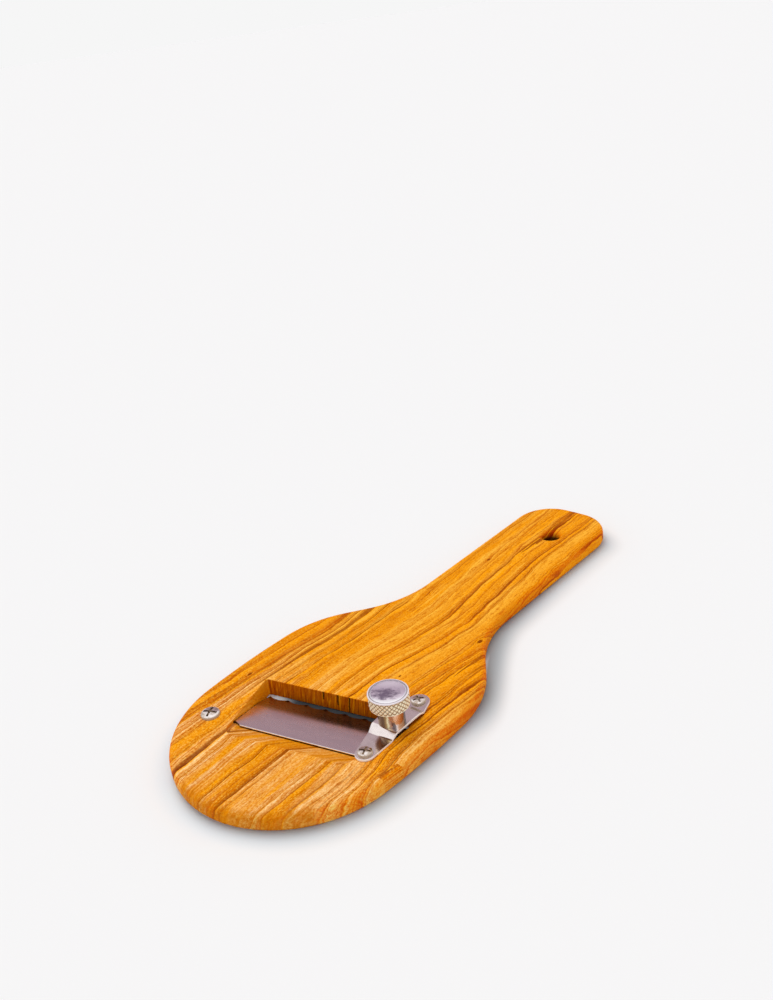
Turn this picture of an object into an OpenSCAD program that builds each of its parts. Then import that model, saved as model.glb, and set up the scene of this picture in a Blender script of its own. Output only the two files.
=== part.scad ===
// Wooden truffle slicer: a paddle board with a sloped steel blade let into it,
// and a knurled thumbscrew on a steel bridge that sets how far the blade's edge
// stands out of the sole.
// Millimetres. +Z is up, +Y runs along the board to the handle, +X is the bridge
// side. The origin is the middle of the board's outline, on the flat sole.

/* [Board] */
// Overall length of the board
board_len = 240; // [200:1:300]
// Overall width of the round body
body_w = 96.9; // [80:0.1:120]
// Width of the handle where it leaves the neck
handle_w = 43.6; // [30:0.1:60]
// Thickness of the board
board_t = 7.6; // [6.5:0.1:10]
// Radius of the rounding on the outer edges
edge_r = 2.6; // [1:0.1:3]
// Radius of the hang hole
hang_r = 4.2; // [3:0.1:6]
// Distance of the hang hole from the handle's end
hang_inset = 26.6; // [18:0.1:34]
// Distance of the hang hole from the centre line, to the bridge side
hang_side = 2.5; // [-4:0.1:4]
// Radius of the rounding on both rims of the hang hole
hang_rim = 2.4; // [0.5:0.1:3]

/* [Outline curves] */
// Radius of the near end, as a share of half the body width
near_share = 0.979; // [0.9:0.001:1]
// Sweep of the near end's arc, in degrees
near_sweep = 85; // [80:0.1:88]
// Radius of the long side arc, as a multiple of half the body width
side_share = 6.38; // [3:0.01:9]
// Heading of the outline where the side arc ends, in degrees
side_heading = 93.06; // [91:0.01:96]
// Radius of the shoulder arc
shoulder_r = 47; // [30:0.5:60]
// Heading of the straight flank between shoulder and neck, in degrees
flank_heading = 127.97; // [120:0.01:138]
// Radius of the hollow neck arc
neck_r = 47.8; // [30:0.1:60]
// Heading of the handle's side, in degrees
handle_heading = 89.69; // [89:0.01:90]
// Radius of the handle's end corners
corner_r = 17.3; // [8:0.1:20]
// Heading where the corner meets the flat end arc, in degrees
end_heading = 178.67; // [176:0.01:179]

/* [Blade bed and mouth] */
// Turn of the blade from square across the board, in degrees
skew = 13.6; // [8:0.1:20]
// Slope of the blade bed, in degrees
bed_slope = 13.2; // [11:0.1:15]
// Distance from the board's near end to where the bed leaves the top face, on the centre line
bed_inset = 33.2; // [28:0.1:40]
// Reach from the bed's start to the far wall of the mouth
far_wall = 33.7; // [32.5:0.1:36]
// Left end of the bed at its start, across the board
bed_left = 21.0; // [18:0.1:24]
// Widening of the left end towards the far wall
left_flare = 2.4; // [0:0.1:4]
// Right end of the bed's near part, under the bridge foot
bed_right = 33.8; // [33:0.1:34.2]
// Width of the flat ledge that carries the blade's near edge
ledge_end = 7.9; // [7.2:0.1:8.2]
// Slope of the relief under the blade, in degrees
relief_slope = 18; // [17.5:0.1:18.5]
// Reach of the wood wedge under the blade
wedge_end = 22.5; // [18:0.1:23]
// Radius of the far left corner of the mouth
mouth_corner_r = 1.0; // [0.6:0.1:4]

/* [Blade] */
// Thickness of the blade
blade_t = 0.8; // [0.6:0.05:1]
// Start of the blade's near edge, from the bed's start
blade_near = 6.4; // [6:0.1:7]
// Reach of the cutting edge's points, from the bed's start
blade_far = 31.3; // [30:0.1:31.8]
// Pitch of the wavy cutting edge
wave_pitch = 8.7; // [6:0.1:10]
// Depth of each hollow of the wavy edge
wave_depth = 1.3; // [0.6:0.1:1.8]
// Clear height between the blade and its bed
bed_gap = 0.06; // [0.03:0.01:0.1]

/* [Bridge] */
// Place of the near foot's screw: across, and up from the near end
near_screw = [33.7, 48.7];
// Place of the far foot's screw: across, and up from the near end
far_screw = [31.0, 81.1];
// Thickness of the bridge's sheet steel
sheet_t = 0.9; // [0.7:0.1:1.2]
// Height of the raised platform's underside over the board
bridge_lift = 1.6; // [1.2:0.1:3]
// Radius of the near foot's end
near_foot_r = 3.8; // [3.3:0.1:4.2]
// Radius of the far foot's end
far_foot_r = 4.2; // [3.5:0.1:4.5]
// Platform's reach to the blade side of the line between the screws
plate_left = 6.6; // [5.6:0.1:7.5]
// Platform's reach to the outer side at its near end
plate_right_near = 4.8; // [4:0.1:5.5]
// Platform's reach to the outer side at its far end
plate_right_far = 6.0; // [4.5:0.1:6.5]

/* [Thumbscrew] */
// Place of the thumbscrew's axis: across, and up from the near end
thumb = [31.35, 66.0];
// Nominal radius of the thread
thread_r = 2.5; // [2:0.1:3]
// Radius of the tapped bush that stands on the bridge
bush_r = 5.0; // [4:0.1:5.2]
// Height of the tapped bush over the bridge
bush_h = 5.85; // [4:0.05:8]
// Radius of the knurled head
head_r = 7.7; // [6:0.1:9]
// Height of the knurled head
head_h = 5.6; // [4:0.1:8]
// Feed left between the head and the bush at rest
feed_gap = 1.15; // [1.1:0.05:1.5]

/* [Wood screws] */
// Radius of the bridge screws' heads
foot_head_r = 2.8; // [2.3:0.1:3]
// Height of the bridge screws' heads
foot_head_h = 1.2; // [0.9:0.1:1.6]
// Place of the blade's clamping screw: across, and up from the near end
clamp_screw = [-32.4, 33.0];
// Radius of the clamping screw's head
clamp_head_r = 3.75; // [3:0.05:4.2]
// Height of the clamping screw's head
clamp_head_h = 1.6; // [1.2:0.1:2]
// Radius of all the screws' shanks
shank_r = 1.4; // [1.1:0.1:1.6]
// Depth that each screw goes into the board
shank_len = 5.8; // [4.5:0.1:6]

/* [Hidden] */
$fn = 64;
eps = 0.01;
// running clearance of the thread and the screw holes
fit = 0.05;
half_w = body_w / 2;
near_r = half_w * near_share;
side_r = half_w * side_share;
bed_tan = tan(bed_slope);
bed_y = bed_inset - board_len / 2;
near_at = from_near(near_screw);
far_at = from_near(far_screw);
thumb_at = from_near(thumb);
clamp_at = from_near(clamp_screw);
hang_y = board_len / 2 - hang_inset;
plate_top = board_t + bridge_lift + sheet_t;
head_base = plate_top + bush_h + feed_gap;
head_top = head_base + head_h;
blade_rise = blade_t / cos(bed_slope);
strap_mid = (near_at + far_at) / 2;
strap_span = norm(far_at - near_at);
strap_turn = atan2(near_at[0] - far_at[0], far_at[1] - near_at[1]);
// bend lines of the bridge, along the line between its screws
foot_bend = -6.9;
plate_near = -3.9;
plate_far = 9.6;
far_bend = 12.4;
// the ear of the bed that runs on under the bridge, from the near foot's screw
ear_x = near_at[0] + 3.2;
ear_y = near_at[1] + 8.7;
blade_inset = 0.5;
blade_left = bed_left + 0.9;
side_gap = 0.2;
tongue_near = 8.0;
tongue_far = 13.5;
tongue_len = 14;
kerf_clear = 0.5;
thumb_s = frame_of(thumb_at)[1];
tip_z = bed_height(thumb_s) + bed_gap + blade_rise
      + thread_r * (1 / cos(bed_slope) - 1) + 0.12;

// Place on the board of a point that is given up from the near end
function from_near(p) = [p[0], p[1] - board_len / 2];

// Left wall of the bed, across, at a reach s from its start
function bed_side(s) = -bed_left - left_flare * (s - 4) / (far_wall - mouth_corner_r - 4);

// Height of the bed plane at a reach s from its start
function bed_height(s) = board_t - bed_tan * s;

// Place on the board turned into the blade's frame: across, reach
function frame_of(p) = [
    p[0] * cos(skew) + (p[1] - bed_y) * sin(skew),
    -p[0] * sin(skew) + (p[1] - bed_y) * cos(skew)
];

// Point of an arc that starts at p with heading h and turns by a, radius r
function arc_point(p, h, r, a) = [
    p[0] + r * sign(a) * (sin(h + a) - sin(h)),
    p[1] + r * sign(a) * (cos(h) - cos(h + a)),
    h + a
];

// Steps along an arc, without its first point
function arc_steps(p, h, r, a, n) = [for (i = [1:n]) arc_point(p, h, r, a * i / n)];

// Point at a distance d from p along heading h
function ahead(p, h, d) = [p[0] + d * cos(h), p[1] + d * sin(h), h];

// Half of the board's outline, from the near end round to the handle's end
function half_outline() =
    let (
        a = arc_steps([0, -board_len / 2], 0, near_r, near_sweep, 20),
        b = arc_steps(a[19], near_sweep, side_r, side_heading - near_sweep, 3),
        c = arc_steps(b[2], side_heading, shoulder_r, flank_heading - side_heading, 8),
        neck_turn = handle_heading - flank_heading,
        neck_dx = arc_point([0, 0], flank_heading, neck_r, neck_turn)[0],
        flank = (c[7][0] + neck_dx - handle_w / 2) / -cos(flank_heading),
        d = ahead(c[7], flank_heading, flank),
        e = arc_steps(d, flank_heading, neck_r, neck_turn, 9),
        corner_turn = end_heading - handle_heading,
        corner_dy = arc_point([0, 0], handle_heading, corner_r, corner_turn)[1],
        end_x = e[8][0],
        end_rise = (end_x - corner_r) * tan((180 - end_heading) / 2),
        side = (board_len / 2 - corner_dy - end_rise - e[8][1]) / sin(handle_heading),
        f = ahead(e[8], handle_heading, side),
        g = arc_steps(f, handle_heading, corner_r, corner_turn, 16),
        end_r = g[15][0] / sin(180 - end_heading),
        last = arc_steps(g[15], end_heading, end_r, 180 - end_heading, 3)
    )
    concat([[0, -board_len / 2, 0]], a, b, c, [d], e, [f], g, last);

// The whole outline with the outward direction at each point: x, y, nx, ny
function outline() =
    let (h = half_outline(), n = len(h))
    concat(
        [for (p = h) [p[0], p[1], sin(p[2]), -cos(p[2])]],
        [for (i = [n - 2:-1:1]) [-h[i][0], h[i][1], -sin(h[i][2]), -cos(h[i][2])]]
    );

// Flat paddle with all its outer edges rounded
module paddle() {
    o = outline();
    n = len(o);
    steps = 4;
    low = [for (i = [0:steps]) -90 + 90 * i / steps];
    high = [for (i = [0:steps]) 90 * i / steps];
    rings = concat(
        [for (a = low) [edge_r * (1 - cos(a)), edge_r * (1 + sin(a))]],
        [for (a = high) [edge_r * (1 - cos(a)), board_t - edge_r * (1 - sin(a))]]
    );
    m = len(rings);
    points = [for (r = rings) for (p = o) [p[0] - r[0] * p[2], p[1] - r[0] * p[3], r[1]]];
    walls = [for (k = [0:m - 2]) for (i = [0:n - 1])
        let (j = (i + 1) % n)
        each [[k * n + i, (k + 1) * n + i, (k + 1) * n + j], [k * n + i, (k + 1) * n + j, k * n + j]]];
    polyhedron(points,
               concat([[for (i = [0:n - 1]) i]],
                      walls,
                      [[for (i = [n - 1:-1:0]) (m - 1) * n + i]]),
               convexity = 6);
}

// Stands its children in the blade's frame: x across, y reach, z up
module blade_frame() {
    translate([0, bed_y, 0]) rotate([0, 0, skew]) children();
}

// Lays its children on the bed plane
module on_bed() {
    blade_frame() translate([0, 0, board_t]) rotate([-bed_slope, 0, 0]) children();
}

// Space over the bed and down through the mouth, seen from the end of the blade
module bed_space(low_lid, reach) {
    relief_z = bed_height(ledge_end) - tan(relief_slope) * (wedge_end - ledge_end);
    lid = low_lid ? [[reach, bed_height(reach) + blade_rise + 2 * bed_gap],
                     [-6, bed_height(-6) + blade_rise + 2 * bed_gap]]
                  : [[reach, board_t + 8], [-6, board_t + 8]];
    rotate([90, 0, 90])
        linear_extrude(120, center = true)
            polygon(concat(
                [[-6, bed_height(-6)], [ledge_end, bed_height(ledge_end)],
                 [wedge_end, relief_z], [wedge_end, -2], [reach, -2]],
                lid));
}

// Plan of the open part of the bed: near corners cut round, far left corner round
module bed_plan() {
    near_c = 5;
    left_far = bed_left + left_flare;
    far_c = mouth_corner_r;
    difference() {
        polygon([[-bed_left, -4], [bed_right, -4], [bed_right, far_wall],
                 [-left_far + far_c, far_wall], [-left_far, far_wall - far_c], [-bed_left, 4]]);
        corner_cut([bed_right, 0], near_c, 1);
        corner_cut([-bed_left, 0], near_c, -1);
    }
    translate([-left_far + far_c, far_wall - far_c]) circle(far_c);
}

// Square corner less its round, for cutting a corner of the plan at y = 0
module corner_cut(at, r, side) {
    translate(at) difference() {
        translate([side > 0 ? -r : -4, -4.5]) square([r + 4, r + 4.5]);
        translate([-side * r, r]) circle(r);
    }
}

// Part of the bed that runs on under the bridge
module ear_plan() {
    intersection() {
        translate([0, -20]) square([60, far_wall + 20]);
        rotate([0, 0, -skew]) translate([22, ear_y - bed_y]) square([ear_x - 22, 60]);
    }
}

// Saw kerf for the blade's tongue, under the clamping screw
module tongue_kerf() {
    intersection() {
        bed_space(true, 30);
        translate([-bed_left - tongue_len - 1, tongue_near - kerf_clear, -1])
            cube([tongue_len + 6, tongue_far - tongue_near + 2 * kerf_clear, board_t + 2]);
    }
}

// Ring that rounds the rim of the hang hole, with its flat side up at z = 0
module rim_round() {
    rotate_extrude()
        difference() {
            translate([0, -hang_rim]) square([hang_r + hang_rim, hang_rim + 1]);
            translate([hang_r + hang_rim, -hang_rim]) circle(hang_rim);
        }
}

// Screw hole in the wood
module pilot(at) {
    translate([at[0], at[1], board_t - shank_len - 0.3])
        cylinder(h = shank_len + 3, r = shank_r + fit);
}

module board() {
    color([0.80, 0.50, 0.20])
        difference() {
            paddle();
            blade_frame() {
                intersection() {
                    bed_space(false, 60);
                    translate([0, 0, -5]) linear_extrude(board_t + 15) union() {
                        bed_plan();
                        ear_plan();
                    }
                }
                tongue_kerf();
            }
            translate([hang_side, hang_y, -1]) cylinder(h = board_t + 2, r = hang_r);
            translate([hang_side, hang_y, board_t]) rim_round();
            translate([hang_side, hang_y, 0]) mirror([0, 0, 1]) rim_round();
            pilot(near_at);
            pilot(far_at);
            pilot(clamp_at);
        }
}

// Outline of the blade, with reach measured along the bed's slope
module blade_plan() {
    k = 1 / cos(bed_slope);
    ear_low = frame_of([ear_x - blade_inset, ear_y + blade_inset]);
    ear_high_y = bed_y + (blade_far + (ear_x - blade_inset) * sin(skew)) / cos(skew);
    ear_high = frame_of([ear_x - blade_inset, ear_high_y]);
    right = bed_right - 0.4;
    ear_step = ear_low[1] + (ear_low[0] - right) * tan(skew);
    wave_r = (pow(wave_pitch - 0.6, 2) / 4 + pow(wave_depth, 2)) / (2 * wave_depth);
    clamp = frame_of(clamp_at);
    difference() {
        union() {
            polygon([for (p = [
                [-blade_left + 4.6, blade_near], [right, blade_near],
                [right, ear_step], ear_low, ear_high,
                [-blade_left + 0.4, blade_far], [bed_side(blade_far - 7) + side_gap, blade_far - 7],
                [bed_side(blade_near + 2) + side_gap, blade_near + 2]]) [p[0], p[1] * k]]);
            translate([-bed_left - tongue_len, tongue_near * k])
                square([tongue_len + 2, (tongue_far - tongue_near) * k]);
        }
        for (i = [0:7])
            translate([-blade_left + 0.4 + wave_pitch * (i + 0.5),
                       blade_far * k - wave_depth + wave_r])
                circle(wave_r, $fn = 128);
        translate([clamp[0], clamp[1] * k]) circle(shank_r + 0.5);
    }
}

module blade() {
    color([0.62, 0.60, 0.63])
        on_bed() translate([0, 0, bed_gap]) linear_extrude(blade_t) blade_plan();
}

// Stands its children on the line between the bridge's screws
module on_strap() {
    translate([strap_mid[0], strap_mid[1], 0]) rotate([0, 0, strap_turn]) children();
}

// Point where the tangent from q touches the circle at c of radius r
function tangent(c, r, q, side) =
    let (v = q - c, d = norm(v), base = atan2(v[1], v[0]), a = side * acos(r / d))
    c + r * [cos(base + a), sin(base + a)];

// Plan of the bridge: round feet that widen to the platform
module strap_plan() {
    near = [0, -strap_span / 2];
    far = [0, strap_span / 2];
    nl = [-plate_left, plate_near];
    nr = [plate_right_near, plate_near];
    fl = [-plate_left, plate_far];
    fr = [plate_right_far, plate_far];
    polygon([tangent(near, near_foot_r, nr, -1), nr, fr, tangent(far, far_foot_r, fr, 1),
             tangent(far, far_foot_r, fl, -1), fl, nl, tangent(near, near_foot_r, nl, 1)]);
    translate(near) circle(near_foot_r);
    translate(far) circle(far_foot_r);
}

// Side view of the bent strip
module strap_profile() {
    low = board_t;
    high = board_t + bridge_lift;
    bend = sheet_t * 0.4;
    polygon([[-40, low], [foot_bend + bend, low], [plate_near + bend, high],
             [plate_far - bend, high], [far_bend - bend, low], [40, low],
             [40, low + sheet_t], [far_bend, low + sheet_t], [plate_far, high + sheet_t],
             [plate_near, high + sheet_t], [foot_bend, low + sheet_t], [-40, low + sheet_t]]);
}

module bridge() {
    color([0.72, 0.70, 0.72])
        difference() {
            on_strap() intersection() {
                rotate([90, 0, 90]) linear_extrude(60, center = true) strap_profile();
                linear_extrude(board_t + 20) strap_plan();
            }
            for (at = [near_at, far_at])
                translate([at[0], at[1], 0]) cylinder(h = board_t + 5, r = shank_r + 0.15);
            translate([thumb_at[0], thumb_at[1], 0]) cylinder(h = board_t + 20, r = thread_r + 1.1);
        }
}

module tapped_bush() {
    spigot_r = thread_r + 1.1 - 0.03;
    under = board_t + bridge_lift;
    color([0.80, 0.78, 0.76])
        translate([thumb_at[0], thumb_at[1], 0])
            rotate_extrude()
                polygon([[thread_r + fit, under - 0.7], [spigot_r + 0.5, under - 0.7],
                         [spigot_r + 0.7, under - 0.02], [spigot_r, under - 0.02],
                         [spigot_r, plate_top], [bush_r, plate_top],
                         [bush_r, plate_top + bush_h - 0.3], [bush_r - 0.3, plate_top + bush_h],
                         [thread_r + fit, plate_top + bush_h]]);
}

module threaded_stud() {
    top = head_base + head_h * 0.72;
    color([0.75, 0.74, 0.74])
        translate([thumb_at[0], thumb_at[1], 0]) {
            translate([0, 0, tip_z + thread_r]) cylinder(h = top - tip_z - thread_r, r = thread_r);
            intersection() {
                translate([0, 0, tip_z + thread_r]) sphere(thread_r);
                translate([-5, -5, tip_z - 1]) cube([10, 10, thread_r + 1 + eps]);
            }
        }
}

module knurled_head() {
    seat = head_base + head_h * 0.72 + 0.05;
    rim = head_r - 0.15;
    groove = head_r - 1.0;
    color([0.78, 0.74, 0.62])
        translate([thumb_at[0], thumb_at[1], 0])
            rotate_extrude()
                polygon([[thread_r + fit, head_base], [head_r - 0.5, head_base],
                         [head_r, head_base + 0.5], [head_r, head_top - 0.9],
                         [rim - 0.25, head_top - 0.7], [rim, head_top - 0.45],
                         [rim - 0.35, head_top], [groove + 0.2, head_top],
                         [groove, head_top - 0.25], [groove - 0.25, head_top - 0.2],
                         [groove - 1.6, head_top - 0.1], [0, head_top - 0.05],
                         [0, seat], [thread_r + fit, seat]]);
}

// Domed head with a cross recess on a plain shank, its seat at z = 0
module cross_screw(head_r1, head_h1) {
    ball = (head_r1 * head_r1 + pow(head_h1 - 0.3, 2)) / (2 * (head_h1 - 0.3));
    difference() {
        union() {
            cylinder(h = 0.3, r = head_r1);
            intersection() {
                translate([0, 0, head_h1 - ball]) sphere(ball);
                translate([0, 0, 0.3 - eps]) cylinder(h = head_h1, r = head_r1);
            }
        }
        for (a = [0, 90])
            rotate([0, 0, a + 25]) translate([-head_r1 * 0.62, -0.32, head_h1 * 0.45])
                cube([head_r1 * 1.24, 0.64, head_h1]);
    }
}

// Screw shank that ends in a short cone, hanging down from z = 0
module shank(len) {
    translate([0, 0, -len + 1.2]) cylinder(h = len - 1.2 + eps, r = shank_r);
    translate([0, 0, -len]) cylinder(h = 1.2, r1 = 0.3, r2 = shank_r);
}

module bridge_screws() {
    color([0.82, 0.80, 0.76])
        for (at = [near_at, far_at])
            translate([at[0], at[1], board_t + sheet_t]) {
                cross_screw(foot_head_r, foot_head_h);
                shank(shank_len + sheet_t);
            }
}

module blade_screw() {
    color([0.80, 0.79, 0.80])
        translate([clamp_at[0], clamp_at[1], board_t]) {
            cross_screw(clamp_head_r, clamp_head_h);
            shank(shank_len);
        }
}

board();
blade();
bridge();
tapped_bush();
threaded_stud();
knurled_head();
bridge_screws();
blade_screw();
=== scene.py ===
"""Looks of a wooden truffle slicer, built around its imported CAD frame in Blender."""

import logging
import math
from dataclasses import dataclass
from enum import Enum
from typing import Callable, Optional, Sequence, Union

import bmesh
import bpy
from mathutils import Matrix, Vector


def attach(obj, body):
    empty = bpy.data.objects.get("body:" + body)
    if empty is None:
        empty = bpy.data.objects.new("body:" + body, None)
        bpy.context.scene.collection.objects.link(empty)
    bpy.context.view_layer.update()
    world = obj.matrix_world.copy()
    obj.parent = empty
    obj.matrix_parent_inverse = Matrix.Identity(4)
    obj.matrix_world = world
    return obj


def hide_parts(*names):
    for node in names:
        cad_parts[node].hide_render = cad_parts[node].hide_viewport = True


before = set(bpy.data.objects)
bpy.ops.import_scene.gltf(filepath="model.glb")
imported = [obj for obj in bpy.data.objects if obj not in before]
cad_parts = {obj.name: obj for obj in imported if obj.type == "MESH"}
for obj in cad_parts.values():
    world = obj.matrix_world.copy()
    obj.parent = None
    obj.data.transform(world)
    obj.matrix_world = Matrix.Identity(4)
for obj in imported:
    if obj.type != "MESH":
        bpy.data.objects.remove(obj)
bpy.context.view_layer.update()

MM = 0.001
UP = Vector((0.0, 0.0, 1.0))
Point = Sequence[float]
log = logging.getLogger("truffle_slicer")

# Two places closer than this are one, in millimetres
TINY = 1e-4
# An edge is sharp from this angle between its faces, in degrees
SHARP = 60.0
# How far a cutting block passes the faces that it opens
PAST = 1.0


# Drawing with mesh operators

class Cut(Enum):
    """What a cut leaves of a mesh."""

    OUTSIDE = "DIFFERENCE"
    SHARED = "INTERSECT"


class Mould:
    """A mesh that operators shape, in millimetres, until it becomes a piece."""

    def __init__(self) -> None:
        """Start with an empty mesh."""
        self.bm = bmesh.new()

    def point(self, place: Point) -> bmesh.types.BMVert:
        """Set one vertex at a place."""
        return bmesh.ops.create_vert(self.bm, co=Vector(place))["vert"][0]

    def line(self, start: bmesh.types.BMVert, end: Point) -> bmesh.types.BMVert:
        """Draw a straight edge from a vertex to a place.

        Args:
            start: The vertex that the edge leaves.
            end: The place where it ends.

        Returns:
            The vertex at the end.
        """
        made = bmesh.ops.extrude_vert_indiv(self.bm, verts=[start])["verts"][0]
        made.co = Vector(end)
        return made

    def arc(self, start: bmesh.types.BMVert, centre: Point, degrees: float,
            steps: int) -> bmesh.types.BMVert:
        """Draw a level arc from a vertex round a centre.

        Args:
            start: The vertex that the arc leaves.
            centre: The middle of the arc.
            degrees: Its sweep, anticlockwise.
            steps: The number of edges.

        Returns:
            The vertex at the end.
        """
        out = bmesh.ops.spin(self.bm, geom=[start], cent=Vector(centre), axis=UP, dvec=Vector(),
                             angle=math.radians(degrees), steps=steps, use_merge=False,
                             use_duplicate=False)
        return [g for g in out["geom_last"] if isinstance(g, bmesh.types.BMVert)][0]

    def chain(self, places: Sequence[Point]) -> None:
        """Draw an open line.

        Args:
            places: The places that it runs through.
        """
        last = self.point(places[0])
        for place in places[1:]:
            last = self.line(last, place)

    def close(self) -> None:
        """Join the outline's ends and fill it with one face that looks up."""
        bmesh.ops.remove_doubles(self.bm, verts=self.bm.verts, dist=TINY)
        ends = [v for v in self.bm.verts if len(v.link_edges) == 1]
        if len(ends) == 2:
            bmesh.ops.contextual_create(self.bm, geom=ends)
        bmesh.ops.contextual_create(self.bm, geom=self.bm.edges[:])
        for face in self.bm.faces:
            face.normal_update()
            if face.normal.z < 0:
                face.normal_flip()

    def raise_faces(self, step: Point) -> None:
        """Pull the mesh's faces into a solid.

        Args:
            step: How far and which way.
        """
        out = bmesh.ops.extrude_face_region(self.bm, geom=self.bm.faces[:])
        made = [g for g in out["geom"] if isinstance(g, bmesh.types.BMVert)]
        bmesh.ops.translate(self.bm, verts=made, vec=Vector(step))
        bmesh.ops.recalc_face_normals(self.bm, faces=self.bm.faces[:])

    def lathe(self, steps: int, centre: Point = (0.0, 0.0)) -> None:
        """Turn the drawn line, which lies at y = 0, into a closed round body.

        Args:
            steps: The number of facets round the axis.
            centre: Where the axis stands on the board.
        """
        bmesh.ops.spin(self.bm, geom=self.bm.verts[:] + self.bm.edges[:], cent=Vector(),
                       axis=UP, dvec=Vector(), angle=2 * math.pi, steps=steps,
                       use_merge=True, use_duplicate=False)
        bmesh.ops.remove_doubles(self.bm, verts=self.bm.verts, dist=TINY)
        bmesh.ops.dissolve_degenerate(self.bm, edges=self.bm.edges, dist=TINY)
        self.fill_holes()
        bmesh.ops.recalc_face_normals(self.bm, faces=self.bm.faces[:])
        self.move((centre[0], centre[1], 0.0))

    def fill_holes(self) -> None:
        """Close every open loop of edges."""
        rim = [e for e in self.bm.edges if len(e.link_faces) < 2]
        if rim:
            bmesh.ops.holes_fill(self.bm, edges=rim)

    def move(self, step: Point) -> None:
        """Shift the whole mesh."""
        bmesh.ops.translate(self.bm, verts=self.bm.verts[:], vec=Vector(step))

    def place(self, matrix: Matrix) -> None:
        """Take the whole mesh through a matrix."""
        bmesh.ops.transform(self.bm, matrix=matrix, verts=self.bm.verts[:])

    def soften(self, radius: float, segments: int,
               which: Callable[[bmesh.types.BMEdge], bool]) -> None:
        """Round the edges that a test picks.

        Args:
            radius: The offset of the rounding.
            segments: The number of strips over it.
            which: Tells whether an edge is rounded.
        """
        picked = [e for e in self.bm.edges if len(e.link_faces) == 2 and which(e)]
        bmesh.ops.bevel(self.bm, geom=picked, offset=radius, offset_type="OFFSET",
                        segments=segments, profile=0.5, affect="EDGES", material=-1,
                        clamp_overlap=False, loop_slide=True)

    def carve(self, *tools: "Mould", keep: Cut = Cut.OUTSIDE) -> None:
        """Cut other closed meshes out of this one, or keep what they share.

        Args:
            tools: The meshes that cut.
            keep: What is left of this one.
        """
        for tool in tools:
            block, knife = self.as_object("block"), tool.as_object("knife")
            cut = block.modifiers.new("cut", "BOOLEAN")
            cut.operation, cut.object, cut.solver = keep.value, knife, "EXACT"
            done = block.evaluated_get(bpy.context.evaluated_depsgraph_get())
            self.bm.free()
            self.bm = bmesh.new()
            self.bm.from_mesh(done.data)
            for used in (block, knife):
                bpy.data.meshes.remove(used.data)
            bmesh.ops.remove_doubles(self.bm, verts=self.bm.verts, dist=TINY)
            bmesh.ops.dissolve_degenerate(self.bm, edges=self.bm.edges, dist=TINY)

    def as_object(self, name: str) -> bpy.types.Object:
        """Turn a copy of the mesh into an object in the scene.

        Args:
            name: The object's name.

        Returns:
            The object.
        """
        mesh = bpy.data.meshes.new(name)
        self.bm.to_mesh(mesh)
        made = bpy.data.objects.new(name, mesh)
        bpy.context.scene.collection.objects.link(made)
        return made

    def join(self, other: "Mould") -> None:
        """Add another mould's mesh to this one as a body of its own.

        Args:
            other: The other mould.
        """
        mesh = bpy.data.meshes.new("joined")
        other.bm.to_mesh(mesh)
        self.bm.from_mesh(mesh)
        bpy.data.meshes.remove(mesh)


class Pen:
    """Draws an outline of lines and arcs from a place and a heading, on the flat."""

    def __init__(self, mould: Mould, place: Point) -> None:
        """Put the pen down, heading right.

        Args:
            mould: The mesh that it draws in.
            place: Where it starts.
        """
        self.mould, self.heading = mould, 0.0
        self.at = mould.point((place[0], place[1], 0.0))

    def ahead(self, length: float) -> None:
        """Draw straight on."""
        a = math.radians(self.heading)
        self.at = self.mould.line(self.at, self.at.co + Vector((math.cos(a), math.sin(a), 0)) * length)

    def to(self, place: Point) -> None:
        """Draw straight to a place."""
        self.at = self.mould.line(self.at, (place[0], place[1], 0.0))

    def arc(self, radius: float, turn: float, steps: int) -> None:
        """Draw an arc that goes on from the heading.

        Args:
            radius: Its radius.
            turn: Its sweep in degrees, to the left where it is positive.
            steps: The number of edges.
        """
        a = math.radians(self.heading)
        side = radius * math.copysign(1.0, turn)
        centre = self.at.co + Vector((-math.sin(a), math.cos(a), 0)) * side
        self.at = self.mould.arc(self.at, centre, turn, steps)
        self.heading += turn

    def about(self, centre: Point, turn: float, steps: int) -> None:
        """Draw an arc about a given centre."""
        self.at = self.mould.arc(self.at, (centre[0], centre[1], 0.0), turn, steps)


def prism(places: Sequence[Point], low: float, high: float) -> Mould:
    """Make a straight-sided block over a plan.

    Args:
        places: The corners of the plan.
        low: The height of its foot.
        high: The height of its top.

    Returns:
        The block.
    """
    block = Mould()
    block.chain([(p[0], p[1], low) for p in places])
    block.close()
    block.raise_faces((0, 0, high - low))
    return block


def rod(centre: Point, radius: float, low: float, high: float, steps: int = 64) -> Mould:
    """Make a plain upright cylinder, for cutting a hole.

    Args:
        centre: Where its axis stands.
        radius: Its radius.
        low: The height of its foot.
        high: The height of its top.
        steps: The number of its sides.

    Returns:
        The cylinder.
    """
    made = Mould()
    bmesh.ops.create_cone(made.bm, cap_ends=True, segments=steps, radius1=radius,
                          radius2=radius, depth=high - low)
    made.move((centre[0], centre[1], (low + high) / 2))
    return made


def turned(profile: Sequence[Point], centre: Point, steps: int) -> Mould:
    """Turn a profile of radius and height pairs on a lathe.

    Args:
        profile: The pairs, in order along the profile.
        centre: Where the axis stands.
        steps: The number of facets round it.

    Returns:
        The round body.
    """
    body = Mould()
    body.chain([(r, 0.0, z) for r, z in profile])
    body.lathe(steps, centre)
    return body


def rise_angle(edge: bmesh.types.BMEdge) -> float:
    """Angle between the two faces of an edge, in degrees."""
    return math.degrees(edge.calc_face_angle(0.0))


# Materials

class Blend(Enum):
    """The ways that one colour is laid over another."""

    PLAIN = "MIX"
    OVERLAY = "OVERLAY"


@dataclass(frozen=True)
class Pattern:
    """A smooth noise: its stretch and shift along three axes, its octaves and their strength."""

    scale: Point
    shift: Point = (0.0, 0.0, 0.0)
    detail: float = 2.0
    rough: float = 0.5


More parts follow.
